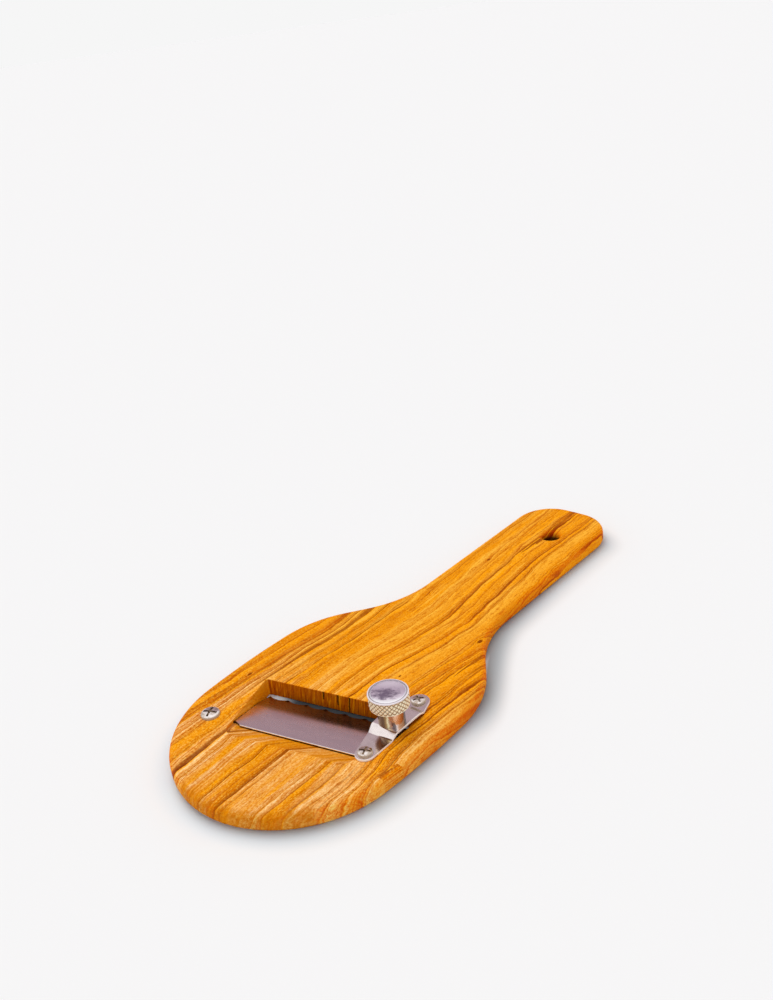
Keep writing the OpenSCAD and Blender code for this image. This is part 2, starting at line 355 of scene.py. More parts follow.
class Value:
    """A number socket of a material, on which operators build Math nodes."""

    def __init__(self, patch: "Patch", socket: bpy.types.NodeSocket) -> None:
        """Wrap a socket."""
        self.patch, self.socket = patch, socket

    def maths(self, operation: str, *values: "Number") -> "Value":
        """Add a Math node on some values."""
        return self.patch.node("ShaderNodeMath", {"operation": operation}, dict(enumerate(values)))

    def __add__(self, other: "Number") -> "Value":
        """Add."""
        return self.maths("ADD", self, other)

    __radd__ = __add__

    def __sub__(self, other: "Number") -> "Value":
        """Take away."""
        return self.maths("SUBTRACT", self, other)

    def __rsub__(self, other: "Number") -> "Value":
        """Take away from a number."""
        return self.maths("SUBTRACT", other, self)

    def __mul__(self, other: "Number") -> "Value":
        """Multiply."""
        return self.maths("MULTIPLY", self, other)

    __rmul__ = __mul__

    def __truediv__(self, other: "Number") -> "Value":
        """Divide."""
        return self.maths("DIVIDE", self, other)

    def __rtruediv__(self, other: "Number") -> "Value":
        """Divide a number."""
        return self.maths("DIVIDE", other, self)

    def __pow__(self, other: "Number") -> "Value":
        """Raise to a power."""
        return self.maths("POWER", self, other)

    def __abs__(self) -> "Value":
        """Drop the sign."""
        return self.maths("ABSOLUTE", self)

    def step(self, low: float, high: float, share: float = 1.0) -> "Value":
        """Go smoothly from nothing to a share.

        Args:
            low: The number with nothing.
            high: The number with the whole share, which may be the smaller one.
            share: The most that it gives.

        Returns:
            The soft step.
        """
        if low > high:
            return share - self.step(high, low, share)
        return self.patch.node("ShaderNodeMapRange", {"interpolation_type": "SMOOTHSTEP"},
                               {"Value": self, "From Min": low, "From Max": high, "To Max": share})

    def between(self, low: float, high: float, soft: float) -> "Value":
        """Mask that is full between two numbers, with both ends softened inwards."""
        return self.step(low, low + soft) * self.step(high, high - soft)

    def at_least(self, least: float) -> "Value":
        """Lift an empty mask to a least value and leave a full one at 1."""
        return least + self * (1 - least)

    def fade(self, share: float) -> "Value":
        """Turn a mask round: 1 where it is empty, and less by a share where it is full."""
        return 1 - self * share


Number = Union[float, Value]


@dataclass(frozen=True)
class Mask:
    """A soft mask over a value: nothing at one number, its whole share at another."""

    empty: float
    full: float
    share: float = 1.0

    def over(self, value: Value) -> Value:
        """The mask at a value of the material."""
        return value.step(self.empty, self.full, self.share)


@dataclass(frozen=True)
class Band:
    """A soft band over a value: it rises over one span and falls over another."""

    rise: Sequence[float]
    fall: Sequence[float]

    def over(self, value: Value) -> Value:
        """The band at a value of the material."""
        return value.step(*self.rise) * value.step(*self.fall)


class Patch:
    """The node tree of one material."""

    def __init__(self, name: str) -> None:
        """Start a material with a plain Principled surface."""
        self.material = bpy.data.materials.new(name)
        self.material.use_nodes = True
        self.tree = self.material.node_tree
        self.tree.nodes.clear()
        self.surface = self.tree.nodes.new("ShaderNodeBsdfPrincipled")
        output = self.tree.nodes.new("ShaderNodeOutputMaterial")
        self.tree.links.new(self.surface.outputs[0], output.inputs[0])

    def node(self, kind: str, settings: Optional[dict] = None, inputs: Optional[dict] = None,
             output: Union[int, str] = 0) -> Value:
        """Add a node.

        Args:
            kind: The node's type.
            settings: Its own settings. A colour ramp takes its stops under the key stops.
            inputs: Values or links of its sockets, by name or number.
            output: The output that is wanted.

        Returns:
            That output.
        """
        made = self.tree.nodes.new(kind)
        for key, value in (settings or {}).items():
            if key == "stops":
                self.set_stops(made.color_ramp, value)
            else:
                setattr(made, key, value)
        for key, value in (inputs or {}).items():
            self.feed(made.inputs[key], value)
        return Value(self, made.outputs[output])

    @staticmethod
    def set_stops(ramp: bpy.types.ColorRamp, stops: Sequence[tuple]) -> None:
        """Give a colour ramp its stops.

        Args:
            ramp: The ramp.
            stops: Its places and colours, in order.
        """
        while len(ramp.elements) < len(stops):
            ramp.elements.new(0.5)
        for element, (place, colour) in zip(ramp.elements, stops):
            element.position, element.color = place, (*colour, 1.0)

    def feed(self, socket: bpy.types.NodeSocket, value: object) -> None:
        """Link a value to a socket, or set it there.

        Args:
            socket: The input.
            value: An output of another node, a number or a colour.
        """
        if isinstance(value, Value):
            self.tree.links.new(value.socket, socket)
        elif socket.type == "RGBA" and len(value) == 3:
            socket.default_value = (*value, 1.0)
        else:
            socket.default_value = value

    def finish(self, **sockets: object) -> bpy.types.Material:
        """Feed the surface's sockets.

        Args:
            sockets: Their values, by name with _ for a space.

        Returns:
            The material.
        """
        for key, value in sockets.items():
            self.feed(self.surface.inputs[key.replace("_", " ")], value)
        return self.material

    def split(self, vector: Value) -> tuple:
        """Take a vector apart.

        Args:
            vector: The vector.

        Returns:
            Its three numbers.
        """
        made = self.tree.nodes.new("ShaderNodeSeparateXYZ")
        self.feed(made.inputs[0], vector)
        return tuple(Value(self, out) for out in made.outputs)

    def places(self) -> tuple:
        """The point on the object in millimetres, as three numbers."""
        point = self.node("ShaderNodeTexCoord", output="Object")
        scaled = self.node("ShaderNodeVectorMath", {"operation": "SCALE"}, {0: point, "Scale": 1 / MM})
        return self.split(scaled)

    def lean(self, axis: int) -> Value:
        """How far the surface faces along one axis, from -1 to 1."""
        return self.split(self.node("ShaderNodeNewGeometry", output="True Normal"))[axis]

    def noise(self, pattern: Pattern, *at: Number) -> Value:
        """Smooth noise about 0.5.

        Args:
            pattern: How it is stretched and shifted.
            at: The three numbers of the place.

        Returns:
            The noise.
        """
        place = self.node("ShaderNodeCombineXYZ", inputs=dict(enumerate(at)))
        place = self.node("ShaderNodeVectorMath", {"operation": "MULTIPLY_ADD"},
                          {0: place, 1: pattern.scale, 2: pattern.shift})
        return self.node("ShaderNodeTexNoise", {"noise_dimensions": "3D"}, {
            "Vector": place, "Scale": 1.0, "Detail": pattern.detail, "Roughness": pattern.rough})

    def mix(self, share: Number, first: object, second: object, blend: Blend = Blend.PLAIN) -> Value:
        """Blend two colours by a share.

        Args:
            share: How much of the second shows.
            first: The colour below.
            second: The colour on top.
            blend: How it is laid over the first.

        Returns:
            The blend.
        """
        return self.node("ShaderNodeMix", {"data_type": "RGBA", "blend_type": blend.value},
                         {0: share, 6: first, 7: second}, output=2)

    def bump(self, height: Number, depth: float) -> Value:
        """Turn a height from 0 to 1 into a normal, with the depth in millimetres."""
        return self.node("ShaderNodeBump", inputs={"Height": height, "Distance": depth * MM})


@dataclass
class Spot:
    """A point of the board in its own frame, and its place across and along the blade's bed."""

    x: Value
    y: Value
    z: Value
    across: Value
    reach: Value


@dataclass
class Figure:
    """What the wood's figure is made of at a point.

    Phase and chance are the place within a growth ring and the ring's own number. The others are
    masks: dark lines, hair lines and their soft halo, pale bands, fibres, grit, the near half of the
    board and its right part.
    """

    phase: Value
    chance: Value
    line: Value
    hair: Value
    halo: Value
    pale: Value
    fibre: Value
    grit: Value
    near: Value
    corner: Value


@dataclass(frozen=True)
class OliveWood:
    """Oiled olive wood: growth rings that end in a dark line, pale bands, hair lines and fibres."""

    bed: "BladeBed"
    honey: Point = (1.0, 0.375, 0.0)
    amber: Point = (0.66, 0.160, 0.0)
    peach: Point = (1.0, 0.69, 0.30)
    gold: Point = (1.0, 0.56, 0.07)
    cream: Point = (1.0, 0.84, 0.56)
    rust: Point = (0.46, 0.075, 0.0)
    umber: Point = (0.17, 0.014, 0.0)
    olive: Point = (0.58, 0.17, 0.0)
    # Painted light for the mouth's left wall
    wall_light: Point = (1.0, 0.34, 0.0)
    # Painted light: an orange laid over the rounded edges and sides to lift their shade
    rim_light: Point = (0.86, 0.42, 0.05)
    # Near black, for real cracks and for painted shade
    soot_and_shade: Point = (0.018, 0.008, 0.002)

    slow: Pattern = Pattern((0.018, 0.010, 0.02), detail=1.0)
    mid: Pattern = Pattern((0.06, 0.024, 0.06), (7.0, 0.0, 0.0))
    quick: Pattern = Pattern((0.30, 0.11, 0.3), detail=3.0)
    uneven: Pattern = Pattern((0.13, 0.003, 0.0))
    broad: Pattern = Pattern((0.11, 0.010, 0.02), (0.0, 3.0, 0.0), 3.0, 0.6)
    patchy: Pattern = Pattern((0.16, 0.035, 0.05), (0.0, 9.0, 0.0), 3.0, 0.6)
    fibres: Pattern = Pattern((1.1, 0.13, 0.6), detail=4.0, rough=0.74)
    grains: Pattern = Pattern((2.1, 1.1, 2.0), rough=0.7)
    saw_marks: Pattern = Pattern((1.25, 0.0, 0.10), (0.0, 3.0, 0.0), 3.0, 0.7)

    sway: float = 10.0
    wander: float = 2.8
    ripple: float = 0.9
    tilt: float = -0.5
    veer: float = 5.5
    strip_across: Mask = Mask(-20.5, -18.0)
    strip_reach: Band = Band((-1.6, -1.2), (7.2, 6.8))
    ring_width: float = 4.6
    ring_uneven: float = 3.0
    hair_rings: float = 3.3
    hair_uneven: float = 2.0
    hair_start: float = 40.0

    knots: Sequence[Point] = (
        (-39.0, -61.0, 0.8), (26.5, 5.0, 1.0), (-9.3, 60.0, 0.7), (14.0, -30.0, 0.5))
    knot: Mask = Mask(0.9, 0.1)
    knot_length: float = 2.2
    knot_push: float = 2.2
    knot_share: float = 0.85

    near: Mask = Mask(-20.0, -95.0)
    corner: Mask = Mask(6.0, 26.0)
    line: Mask = Mask(0.82, 0.95)
    second_line: Mask = Mask(0.05, 0.01, 0.7)
    second_phase: float = 0.72
    line_chance: Mask = Mask(0.08, 0.55)
    line_patches: Mask = Mask(0.30, 0.50)
    far_lines: float = 0.70
    left_lines: float = 0.45
    right_of: Mask = Mask(-46.0, -20.0)
    corner_lines: float = 0.5
    calm_x: float = -27.0
    calm_across: Mask = Mask(10.0, 4.0, 0.6)
    calm_along: Mask = Mask(-58.0, -74.0)
    line_share: float = 0.92

    hair: Mask = Mask(0.66, 0.95)
    hair_chance: Mask = Mask(0.25, 0.7)
    hair_least: float = 0.45
    hair_patchy: float = 0.9
    hair_share: float = 0.80
    corner_hair: float = 0.35
    halo: Mask = Mask(0.15, 0.75)
    halo_share: float = 0.55

    pale: Mask = Mask(0.46, 0.59)
    near_pale: float = 0.03
    corner_pale: float = 0.085
    pale_fade: float = 0.85
    pale_start: Mask = Mask(0.0, 0.14)
    pale_fibre: Mask = Mask(0.38, 0.60)
    pale_least: float = 0.35
    pale_share: float = 0.95
    amber_least: float = 0.35
    dark_fibre: Mask = Mask(0.52, 0.28, 0.70)
    # Pale flecks: partly the wood's own, partly painted sparkle in place of glints
    fleck_and_sparkle: Mask = Mask(0.51, 0.62)
    fleck_and_sparkle_share: float = 0.34
    near_fleck_and_sparkle: float = 0.30
    dark_grit: Mask = Mask(0.46, 0.30, 0.55)
    # Painted light: how far a face leans from level before it takes the orange overlay
    rim: Mask = Mask(0.985, 0.60, 0.55)

    hole: Point = (2.5, 93.4)
    # Painted shade down inside the hang hole: how near its wall and how deep
    hole_wall: Mask = Mask(5.3, 4.4)
    hole_depth: Mask = Mask(5.4, 3.2, 0.92)
    mouth_margin: Point = (4.0, 6.0, 0.4)
    wall_lean: Mask = Mask(-0.55, -0.85)
    wall_reach: Point = (30.0, 36.0, 0.5)
    wall_share: float = 0.92
    # Painted light on the mouth's left wall: which faces, and how far along
    wall_light_lean: Mask = Mask(0.6, 0.9, 0.45)
    wall_light_reach: Band = Band((2.0, 3.0), (36.0, 35.5))
    saw_lean: float = 0.13
    saw_amber: Mask = Mask(0.40, 0.60)
    saw_honey: Mask = Mask(0.56, 0.66, 0.9)
    saw_umber: Mask = Mask(0.42, 0.34)
    saw_right: Mask = Mask(-12.0, 8.0, 0.6)
    saw_least: float = 0.35
    saw_foot: Mask = Mask(4.0, 0.5, 0.25)
    cracks: Sequence[Point] = ((5.3, -1.0), (-5.9, 3.6), (0.4, 2.4))
    crack: Mask = Mask(0.50, 0.20, 0.95)
    crack_wander: float = 0.9
    crack_foot: float = 0.6
    slope_across: Band = Band((-19.5, -17.0), (34.0, 32.0))
    slope_reach: Mask = Mask(7.0, 6.0)
    slope_height: Mask = Mask(7.75, 7.35)
    slope_fibre: Mask = Mask(0.60, 0.40, 0.34)
    slope_share: float = 0.34
    # Painted shade where the blade's near edge meets the bed
    seam_shade_across: Band = Band((-17.8, -17.2), (34.0, 33.6))
    seam_shade_reach: Band = Band((6.05, 6.35), (6.9, 6.6))
    seam_shade_height: Mask = Mask(7.5, 7.3, 0.9)

    rough: float = 0.46
    fibre_rough: float = 0.16
    relief: float = 0.12
    line_relief: float = 0.4
    hair_relief: float = 0.25
    specular: float = 0.02

    def make(self) -> bpy.types.Material:
        """Build the material.

        Returns:
            The wood.
        """
        p = Patch("olive_wood")
        x, y, z = p.places()
        spot = Spot(x, y, z, *self.bed.axes(x, y))
        dark, push = self.knots_at(spot)
        figure = self.figure(p, spot, push)
        tone = self.colour(p, figure)
        # Painted light: sloped and upright faces are overlaid brighter orange, against their own shade
        tone = p.mix(self.rim.over(p.lean(2)), tone, self.rim_light, Blend.OVERLAY)
        tone = p.mix(dark * self.knot_share, tone, self.umber)
        # Painted shade on the lower part of the hang hole's wall
        hx, hy = x - self.hole[0], y - self.hole[1]
        hole_shade = self.hole_wall.over((hx * hx + hy * hy) ** 0.5) * self.hole_depth.over(z)
        tone = p.mix(hole_shade, tone, self.soot_and_shade)
        tone = self.mouth(p, tone, spot, figure.fibre)
        relief = ((figure.fibre + figure.grit) * 0.5 - figure.line * self.line_relief
                  - figure.hair * self.hair_relief)
        return p.finish(Base_Color=tone, Roughness=self.rough + figure.fibre * self.fibre_rough,
                        Normal=p.bump(relief, self.relief), Specular_IOR_Level=self.specular)

    def knots_at(self, spot: Spot) -> tuple:
        """Look up the knots at a point.

        Args:
            spot: The point.

        Returns:
            How dark they make it, and how far they push the rings aside there.
        """
        dark, push = 0.0, 0.0
        for x, y, size in self.knots:
            dx, dy = (spot.x - x) / size, (spot.y - y) / (size * self.knot_length)
            far = dx * dx + dy * dy
            dark = dark + self.knot.over(far)
            push = push + self.knot_push * size * dx / (1 + far * far)
        return dark, push

    def ring_place(self, p: Patch, spot: Spot) -> Value:
        """Place of a point across the rings, which wave and veer on the strip before the bed.

        Args:
            p: The node tree.
            spot: The point.

        Returns:
            The place in millimetres.
        """
        depth = self.bed.board_t - spot.z
        strip = self.strip_across.over(spot.across) * self.strip_reach.over(spot.reach)
        place = spot.x + spot.z * self.tilt - strip * depth.maths("MAXIMUM", depth, 0.0) * self.veer
        waves = ((self.slow, self.sway), (self.mid, self.wander), (self.quick, self.ripple))
        for pattern, width in waves:
            place = place + (p.noise(pattern, spot.x, spot.y, spot.z) - 0.5) * (2 * width)
        return place

    @staticmethod
    def rings(p: Patch, count: Value) -> tuple:
        """Cut a running count into rings.

        Args:
            p: The node tree.
            count: The count.

        Returns:
            The place within a ring, and a chance number of the ring.
        """
        chance = p.node("ShaderNodeTexWhiteNoise", {"noise_dimensions": "1D"},
                        {"W": count.maths("FLOOR", count)})
        return count.maths("FRACT", count), chance

    def figure(self, p: Patch, spot: Spot, push: Value) -> Figure:
        """Work out the wood's figure at a point.

        Args:
            p: The node tree.
            spot: The point.
            push: How far the knots push the rings aside.

        Returns:
            The figure.
        """
        x, y, z = spot.x, spot.y, spot.z
        ring = self.ring_place(p, spot) - push
        uneven = p.noise(self.uneven, ring, y, z)
        count = ring / self.ring_width + uneven * self.ring_uneven
        phase, chance = self.rings(p, count)
        fine, fine_chance = self.rings(
            p, count * self.hair_rings + uneven * self.hair_uneven + self.hair_start)
        broad, patchy, fibre = (p.noise(pattern, ring, y, z)
                                for pattern in (self.broad, self.patchy, self.fibres))
        near = self.near.over(y)
        corner = self.corner.over(x) * near
        calm = self.calm_across.over(abs(x - self.calm_x)) * self.calm_along.over(y)
        strength = (self.line_patches.over(patchy) * near.at_least(self.far_lines)
                    * self.right_of.over(x).at_least(self.left_lines)
                    * corner.fade(self.corner_lines) * (1 - calm))
        line = (self.line.over(phase) + self.second_line.over(abs(phase - self.second_phase))) * (
            self.line_chance.over(chance) * strength)
        some = self.hair_chance.over(fine_chance)
        hair = self.hair.over(fine) * some * (self.hair_least + patchy * self.hair_patchy)
        halo = self.halo.over(fine) * some * corner.fade(self.corner_lines)
        pale = (self.pale.over(broad + near * self.near_pale + corner * self.corner_pale)
                * phase.fade(self.pale_fade) * self.pale_start.over(phase)
                * self.pale_fibre.over(fibre).at_least(self.pale_least) * (1 - hair))
        return Figure(phase, chance, line, hair, halo, pale, fibre, p.noise(self.grains, x, y, z),
                      near, corner)

    def colour(self, p: Patch, figure: Figure) -> Value:
        """Colour the figure, from the broad rings to the finest lines.

        Args:
            p: The node tree.
            figure: The figure.

        Returns:
            The colour.
        """
        f = figure
        tone = p.mix(f.phase * f.chance.at_least(self.amber_least), self.honey, self.amber)
        # Pale bands and pale flecks: partly the wood's own figure, partly painted sheen and sparkle in
        # place of glints, cream and peach at the near end
        tone = p.mix(f.pale * self.pale_share, tone, p.mix(f.near, self.gold, self.peach))
        tone = p.mix(f.halo * self.halo_share, tone, self.amber)
        tone = p.mix(self.dark_fibre.over(f.fibre), tone, self.rust)
        bright = p.mix(f.pale * f.near, self.gold, self.cream)
        light = self.fleck_and_sparkle.over(f.grit) * (self.fleck_and_sparkle_share + f.near * self.near_fleck_and_sparkle)
        tone = p.mix(light, tone, bright)
        tone = p.mix(self.dark_grit.over(f.grit), tone, self.rust)
        tone = p.mix(f.hair * (self.hair_share - f.corner * self.corner_hair), tone, self.rust)
        return p.mix(f.line * self.line_share, tone, self.umber)

    def mouth(self, p: Patch, tone: Value, spot: Spot, fibre: Value) -> Value:
        """Colour the mouth: dark sawn end grain, an olive slope, painted light on its left wall and a
        painted shade line where the blade's near edge meets the bed.

        Args:
            p: The node tree.
            tone: The wood's colour.
            spot: The point.
            fibre: The fibres' noise.

        Returns:
            The colour.
        """
        left, right, soft = self.mouth_margin
        inside = spot.across.between(-self.bed.left - left, self.bed.right + right, soft)
        wall = self.wall_lean.over(p.lean(1)) * inside * spot.reach.between(*self.wall_reach)
        tone = p.mix(wall * self.wall_share, tone, self.end_grain(p, spot, fibre))
        slope = (self.slope_across.over(spot.across) * self.slope_reach.over(spot.reach)
                 * self.slope_height.over(spot.z))
        tone = p.mix(slope * (1 - wall) * (self.slope_share + self.slope_fibre.over(fibre)),
                     tone, self.olive)
        # Painted light: the left wall, which faces across the mouth, turns a brighter flame orange
        side = self.wall_light_lean.over(p.lean(0)) * inside * self.wall_light_reach.over(spot.reach)
        tone = p.mix(side, tone, self.wall_light)
        # Painted shade: a dark line on the bed just under the blade's near edge
        seam_shade = (self.seam_shade_reach.over(spot.reach) * self.seam_shade_across.over(spot.across)
                * self.seam_shade_height.over(spot.z))
        return p.mix(seam_shade, tone, self.soot_and_shade)

    def end_grain(self, p: Patch, spot: Spot, fibre: Value) -> Value:
        """Colour the far wall: upright saw marks, darker to the right, and a few cracks.

        Args:
            p: The node tree.
            spot: The point.
            fibre: The fibres' noise.

        Returns:
            The colour.
        """
        upright = spot.x - spot.z * self.saw_lean
        marks = p.noise(self.saw_marks, upright, 0.0, spot.z)
        sawn = p.mix(self.saw_amber.over(marks), self.rust, self.amber)
        sawn = p.mix(self.saw_honey.over(marks), sawn, self.honey)
        sawn = p.mix(self.saw_umber.over(marks) * (self.saw_least + self.saw_right.over(spot.x)),
                     sawn, self.umber)
        sawn = p.mix(self.saw_foot.over(spot.z), sawn, self.umber)
        for place, foot in self.cracks:
            away = abs(upright - place + (fibre - 0.5) * self.crack_wander)
            crack = self.crack.over(away) * spot.z.step(foot, foot + self.crack_foot)
            sawn = p.mix(crack, sawn, self.soot_and_shade)
        return sawn


@dataclass(frozen=True)
class Metal:
    """A plain steel finish: fine marks, soft stains and, where it has one, a flat colour on its upright
    edges that paints their highlight or shade.
    """

    name: str
    colour: Point
    stain: Point
    rough: float = 0.28
    spread: float = 0.10
    depth: float = 0.003
    marks: Pattern = Pattern((4.8, 4.8, 4.8), detail=3.0, rough=0.6)
    cloud: Pattern = Pattern((0.25, 0.25, 0.25), detail=3.0, rough=0.55)
    stained: Mask = Mask(0.38, 0.60, 0.8)
    edge: Optional[Point] = None
    edge_lean: Mask = Mask(0.93, 0.60)

    def make(self) -> bpy.types.Material:
        """Build the material.

        Returns:
            The metal.
        """
        p = Patch(self.name)
        at = p.places()
        marks, cloud = p.noise(self.marks, *at), p.noise(self.cloud, *at)
        tone = p.mix(self.stained.over(cloud), self.colour, self.stain)
        rough = self.rough + (marks - 0.5) * self.spread + (cloud - 0.5) * self.spread
        shine: Number = 1.0
        # Upright edges take a flat, less metallic colour: a painted highlight on the strip, painted shade
        # round the screw heads
        if self.edge:
            side = self.edge_lean.over(abs(p.lean(2)))
            tone, shine = p.mix(side, tone, self.edge), 1 - side
        return p.finish(Base_Color=tone, Metallic=shine, Roughness=rough,
                        Normal=p.bump(marks, self.depth))


@dataclass(frozen=True)
class KnobPlate:
    """The knob's finish: a mauve disc in a silver rim, and pale nubs over brown valleys of painted shade.

    Along and across run on the disc: along the sheen that crosses it, and square to that.
    """

    axis: Point = (31.35, -54.0)
    radius: float = 7.7
    depth: float = 0.48
    top: float = 22.7
    disc: Point = (0.92, 0.82, 0.92)
    mauve: Point = (0.62, 0.50, 0.62)
    band: Point = (0.44, 0.34, 0.42)
    rim: Point = (0.86, 0.80, 0.84)
    nub: Point = (1.0, 0.88, 0.63)
    valley_shade: Point = (0.30, 0.145, 0.045)
    dark_reflection: Point = (0.20, 0.145, 0.22)
    glint: Point = (1.0, 0.98, 1.0)
    # Dark, for painted shade in the ring round the disc
    soot_and_shade: Point = (0.05, 0.035, 0.03)

    worn: Pattern = Pattern((1.4, 1.4, 1.4), detail=3.0, rough=0.6)
    brushed: Pattern = Pattern((0.35, 3.2, 0.0), detail=3.0, rough=0.6)
    swept: Pattern = Pattern((0.05, 0.16, 0.0), (2.1, 0.4, 0.0), 1.0)
    blotted: Pattern = Pattern((0.42, 0.62, 0.0), (0.0, 0.0, 3.0), 3.0, 0.65)
    sheen_way: Point = (0.82, 0.57)
    nub_span: Point = (1.02, 0.62)
    nub_wear: float = 0.10
    sheen: Mask = Mask(0.0, 5.5)
    sheen_sway: float = 3.0
    sheen_at: float = 0.6
    brush_share: float = 0.30
    # Painted dark reflection across the disc
    dim_reflection: Mask = Mask(1.25, -0.10, 0.95)
    dim_reflection_at: Point = (-1.0, -1.3)
    dim_reflection_shape: Point = (0.034, 0.075)
    dim_reflection_blot: float = 3.6
    # Painted highlight crescent on the disc
    crescent: Mask = Mask(5.0, 6.6, 0.9)
    crescent_shape: Point = (0.5, 0.7)
    crescent_blot: float = 3.0
    top_edge: Point = (0.66, 0.60)
    disc_edge: Point = (0.92, 1.02)
    groove_at: float = 0.82
    groove_shade: Mask = Mask(0.28, 0.12)
    groove_shade_share: float = 0.80
    lit_at: float = 1.25
    lit: Mask = Mask(0.26, 0.12)
    side_metal: float = 0.28
    disc_metal: float = 0.44
    rough: float = 0.26
    brush_rough: float = 0.10
    wear_rough: float = 0.06
    relief: float = 0.004

    def make(self) -> bpy.types.Material:
        """Build the material.

        Returns:
            The plated knob.
        """
        p = Patch("plated_brass")
        x, y, z = p.places()
        dx, dy = x - self.axis[0], y - self.axis[1]
        r = (dx * dx + dy * dy) ** 0.5
        wear = p.noise(self.worn, x, y, z)
        c, k = self.sheen_way
        along, across = dx * c + dy * k, dy * c - dx * k
        streak = p.noise(self.brushed, along, across, 0.0)
        low, high = (self.radius - self.depth * share for share in self.nub_span)
        # Painted shade: the knurl's valleys are darker brown than its nubs
        side = p.mix((r + (wear - 0.5) * self.nub_wear).step(low, high), self.valley_shade, self.nub)
        on_top = z.step(*(self.top - drop for drop in self.top_edge))
        inside = r.step(*(self.radius - inset for inset in self.disc_edge))
        # Painted shade in the sunken ring round the disc
        groove_shade = self.groove_shade.over(abs(r - (self.radius - self.groove_at)))
        lit = self.lit.over(abs(r - (self.radius - self.lit_at)))
        face = p.mix(lit, self.face(p, r, along, across, streak), self.glint)
        tone = p.mix(on_top, side, p.mix(inside, self.rim, face))
        tone = p.mix(groove_shade * on_top * self.groove_shade_share, tone, p.mix(wear, self.band, self.soot_and_shade))
        return p.finish(
            Base_Color=tone, Metallic=self.side_metal + on_top * inside * self.disc_metal,
            Roughness=self.rough + streak * self.brush_rough + wear * self.wear_rough,
            Normal=p.bump(streak * on_top + wear * 0.5, self.relief))

    def face(self, p: Patch, r: Value, along: Value, across: Value, streak: Value) -> Value:
        """Colour the disc: a painted soft sheen, brush marks, a painted dark reflection and a painted
        highlight crescent.

        Args:
            p: The node tree.
            r: Distance from the knob's axis.
            along: Place along the sheen.
            across: Place across it.
            streak: The brush marks' noise.

        Returns:
            The colour.
        """
        sweep, blot = (p.noise(pattern, along, across, 0.0) for pattern in (self.swept, self.blotted))
        face = p.mix(self.sheen.over(abs(across + (sweep - 0.5) * self.sheen_sway - self.sheen_at)),
                     self.mauve, self.disc)
        face = p.mix(streak * self.brush_share, face, self.rim)
        left, low = along - self.dim_reflection_at[0], across - self.dim_reflection_at[1]
        far = low * low * self.dim_reflection_shape[1] + left * left * self.dim_reflection_shape[0]
        # Painted dark reflection
        face = p.mix(self.dim_reflection.over(far + (blot - 0.5) * self.dim_reflection_blot), face, self.dark_reflection)
        out, down = self.crescent_shape
        edge = r * out - across * down + (blot - 0.5) * self.crescent_blot
        return p.mix(self.crescent.over(edge), face, self.glint)


@dataclass(frozen=True)
class BushPlate:
    """The bush's finish: bright plate with upright stripes of straw, brown and white, painted on as
    reflections, and a dark painted reflection low on its front.
    """

    axis: Point = (31.35, -54.0)
    radius: float = 5.0
    foot: float = 10.1
    reflection_streaks: Sequence[tuple] = (
        (0.00, (0.34, 0.19, 0.07)), (0.18, (0.16, 0.09, 0.05)), (0.28, (0.46, 0.30, 0.12)),
        (0.345, (1.0, 0.96, 0.62)), (0.41, (0.60, 0.40, 0.25)), (0.50, (0.50, 0.38, 0.36)),
        (0.62, (1.0, 0.96, 0.94)), (0.74, (0.80, 0.50, 0.30)), (0.90, (0.42, 0.21, 0.08)),
        (0.97, (0.05, 0.03, 0.03)))
    # Dark, for a painted reflection low on the bush
    soot_and_shade: Point = (0.10, 0.07, 0.08)
    reflection_streaks_way: Point = (0.71, 0.70)
    wobbly: Pattern = Pattern((0.5, 0.5, 0.5))
    wobble: float = 0.10
    lathed: Pattern = Pattern((0.3, 0.3, 6.0), detail=3.0, rough=0.6)
    patch_at: float = 0.55
    patch: Mask = Mask(0.09, 0.04, 0.8)
    patch_top: Point = (3.2, 2.0)
    metal: float = 0.8
    rough: float = 0.24
    spread: float = 0.08
    relief: float = 0.0006

    def make(self) -> bpy.types.Material:
        """Build the material.

        Returns:
            The plate.
        """
        p = Patch("bright_plate")
        x, y, z = p.places()
        c, k = self.reflection_streaks_way
        across = ((x - self.axis[0]) * c + (y - self.axis[1]) * k) / (2 * self.radius) + 0.5
        across = across + (p.noise(self.wobbly, x, y, z) - 0.5) * self.wobble
        # Painted reflections: colour stripes set by the side of the bush they lie on
        tone = p.node("ShaderNodeValToRGB", {"stops": self.reflection_streaks}, {"Fac": across})
        low = z.step(*(self.foot + height for height in self.patch_top))
        # Painted dark reflection low on the bush's front
        tone = p.mix(self.patch.over(abs(across - self.patch_at)) * low, tone, self.soot_and_shade)
        turning = p.noise(self.lathed, x, y, z)
        return p.finish(Base_Color=tone, Metallic=self.metal,
                        Roughness=self.rough + (turning - 0.5) * self.spread,
                        Normal=p.bump(turning, self.relief))


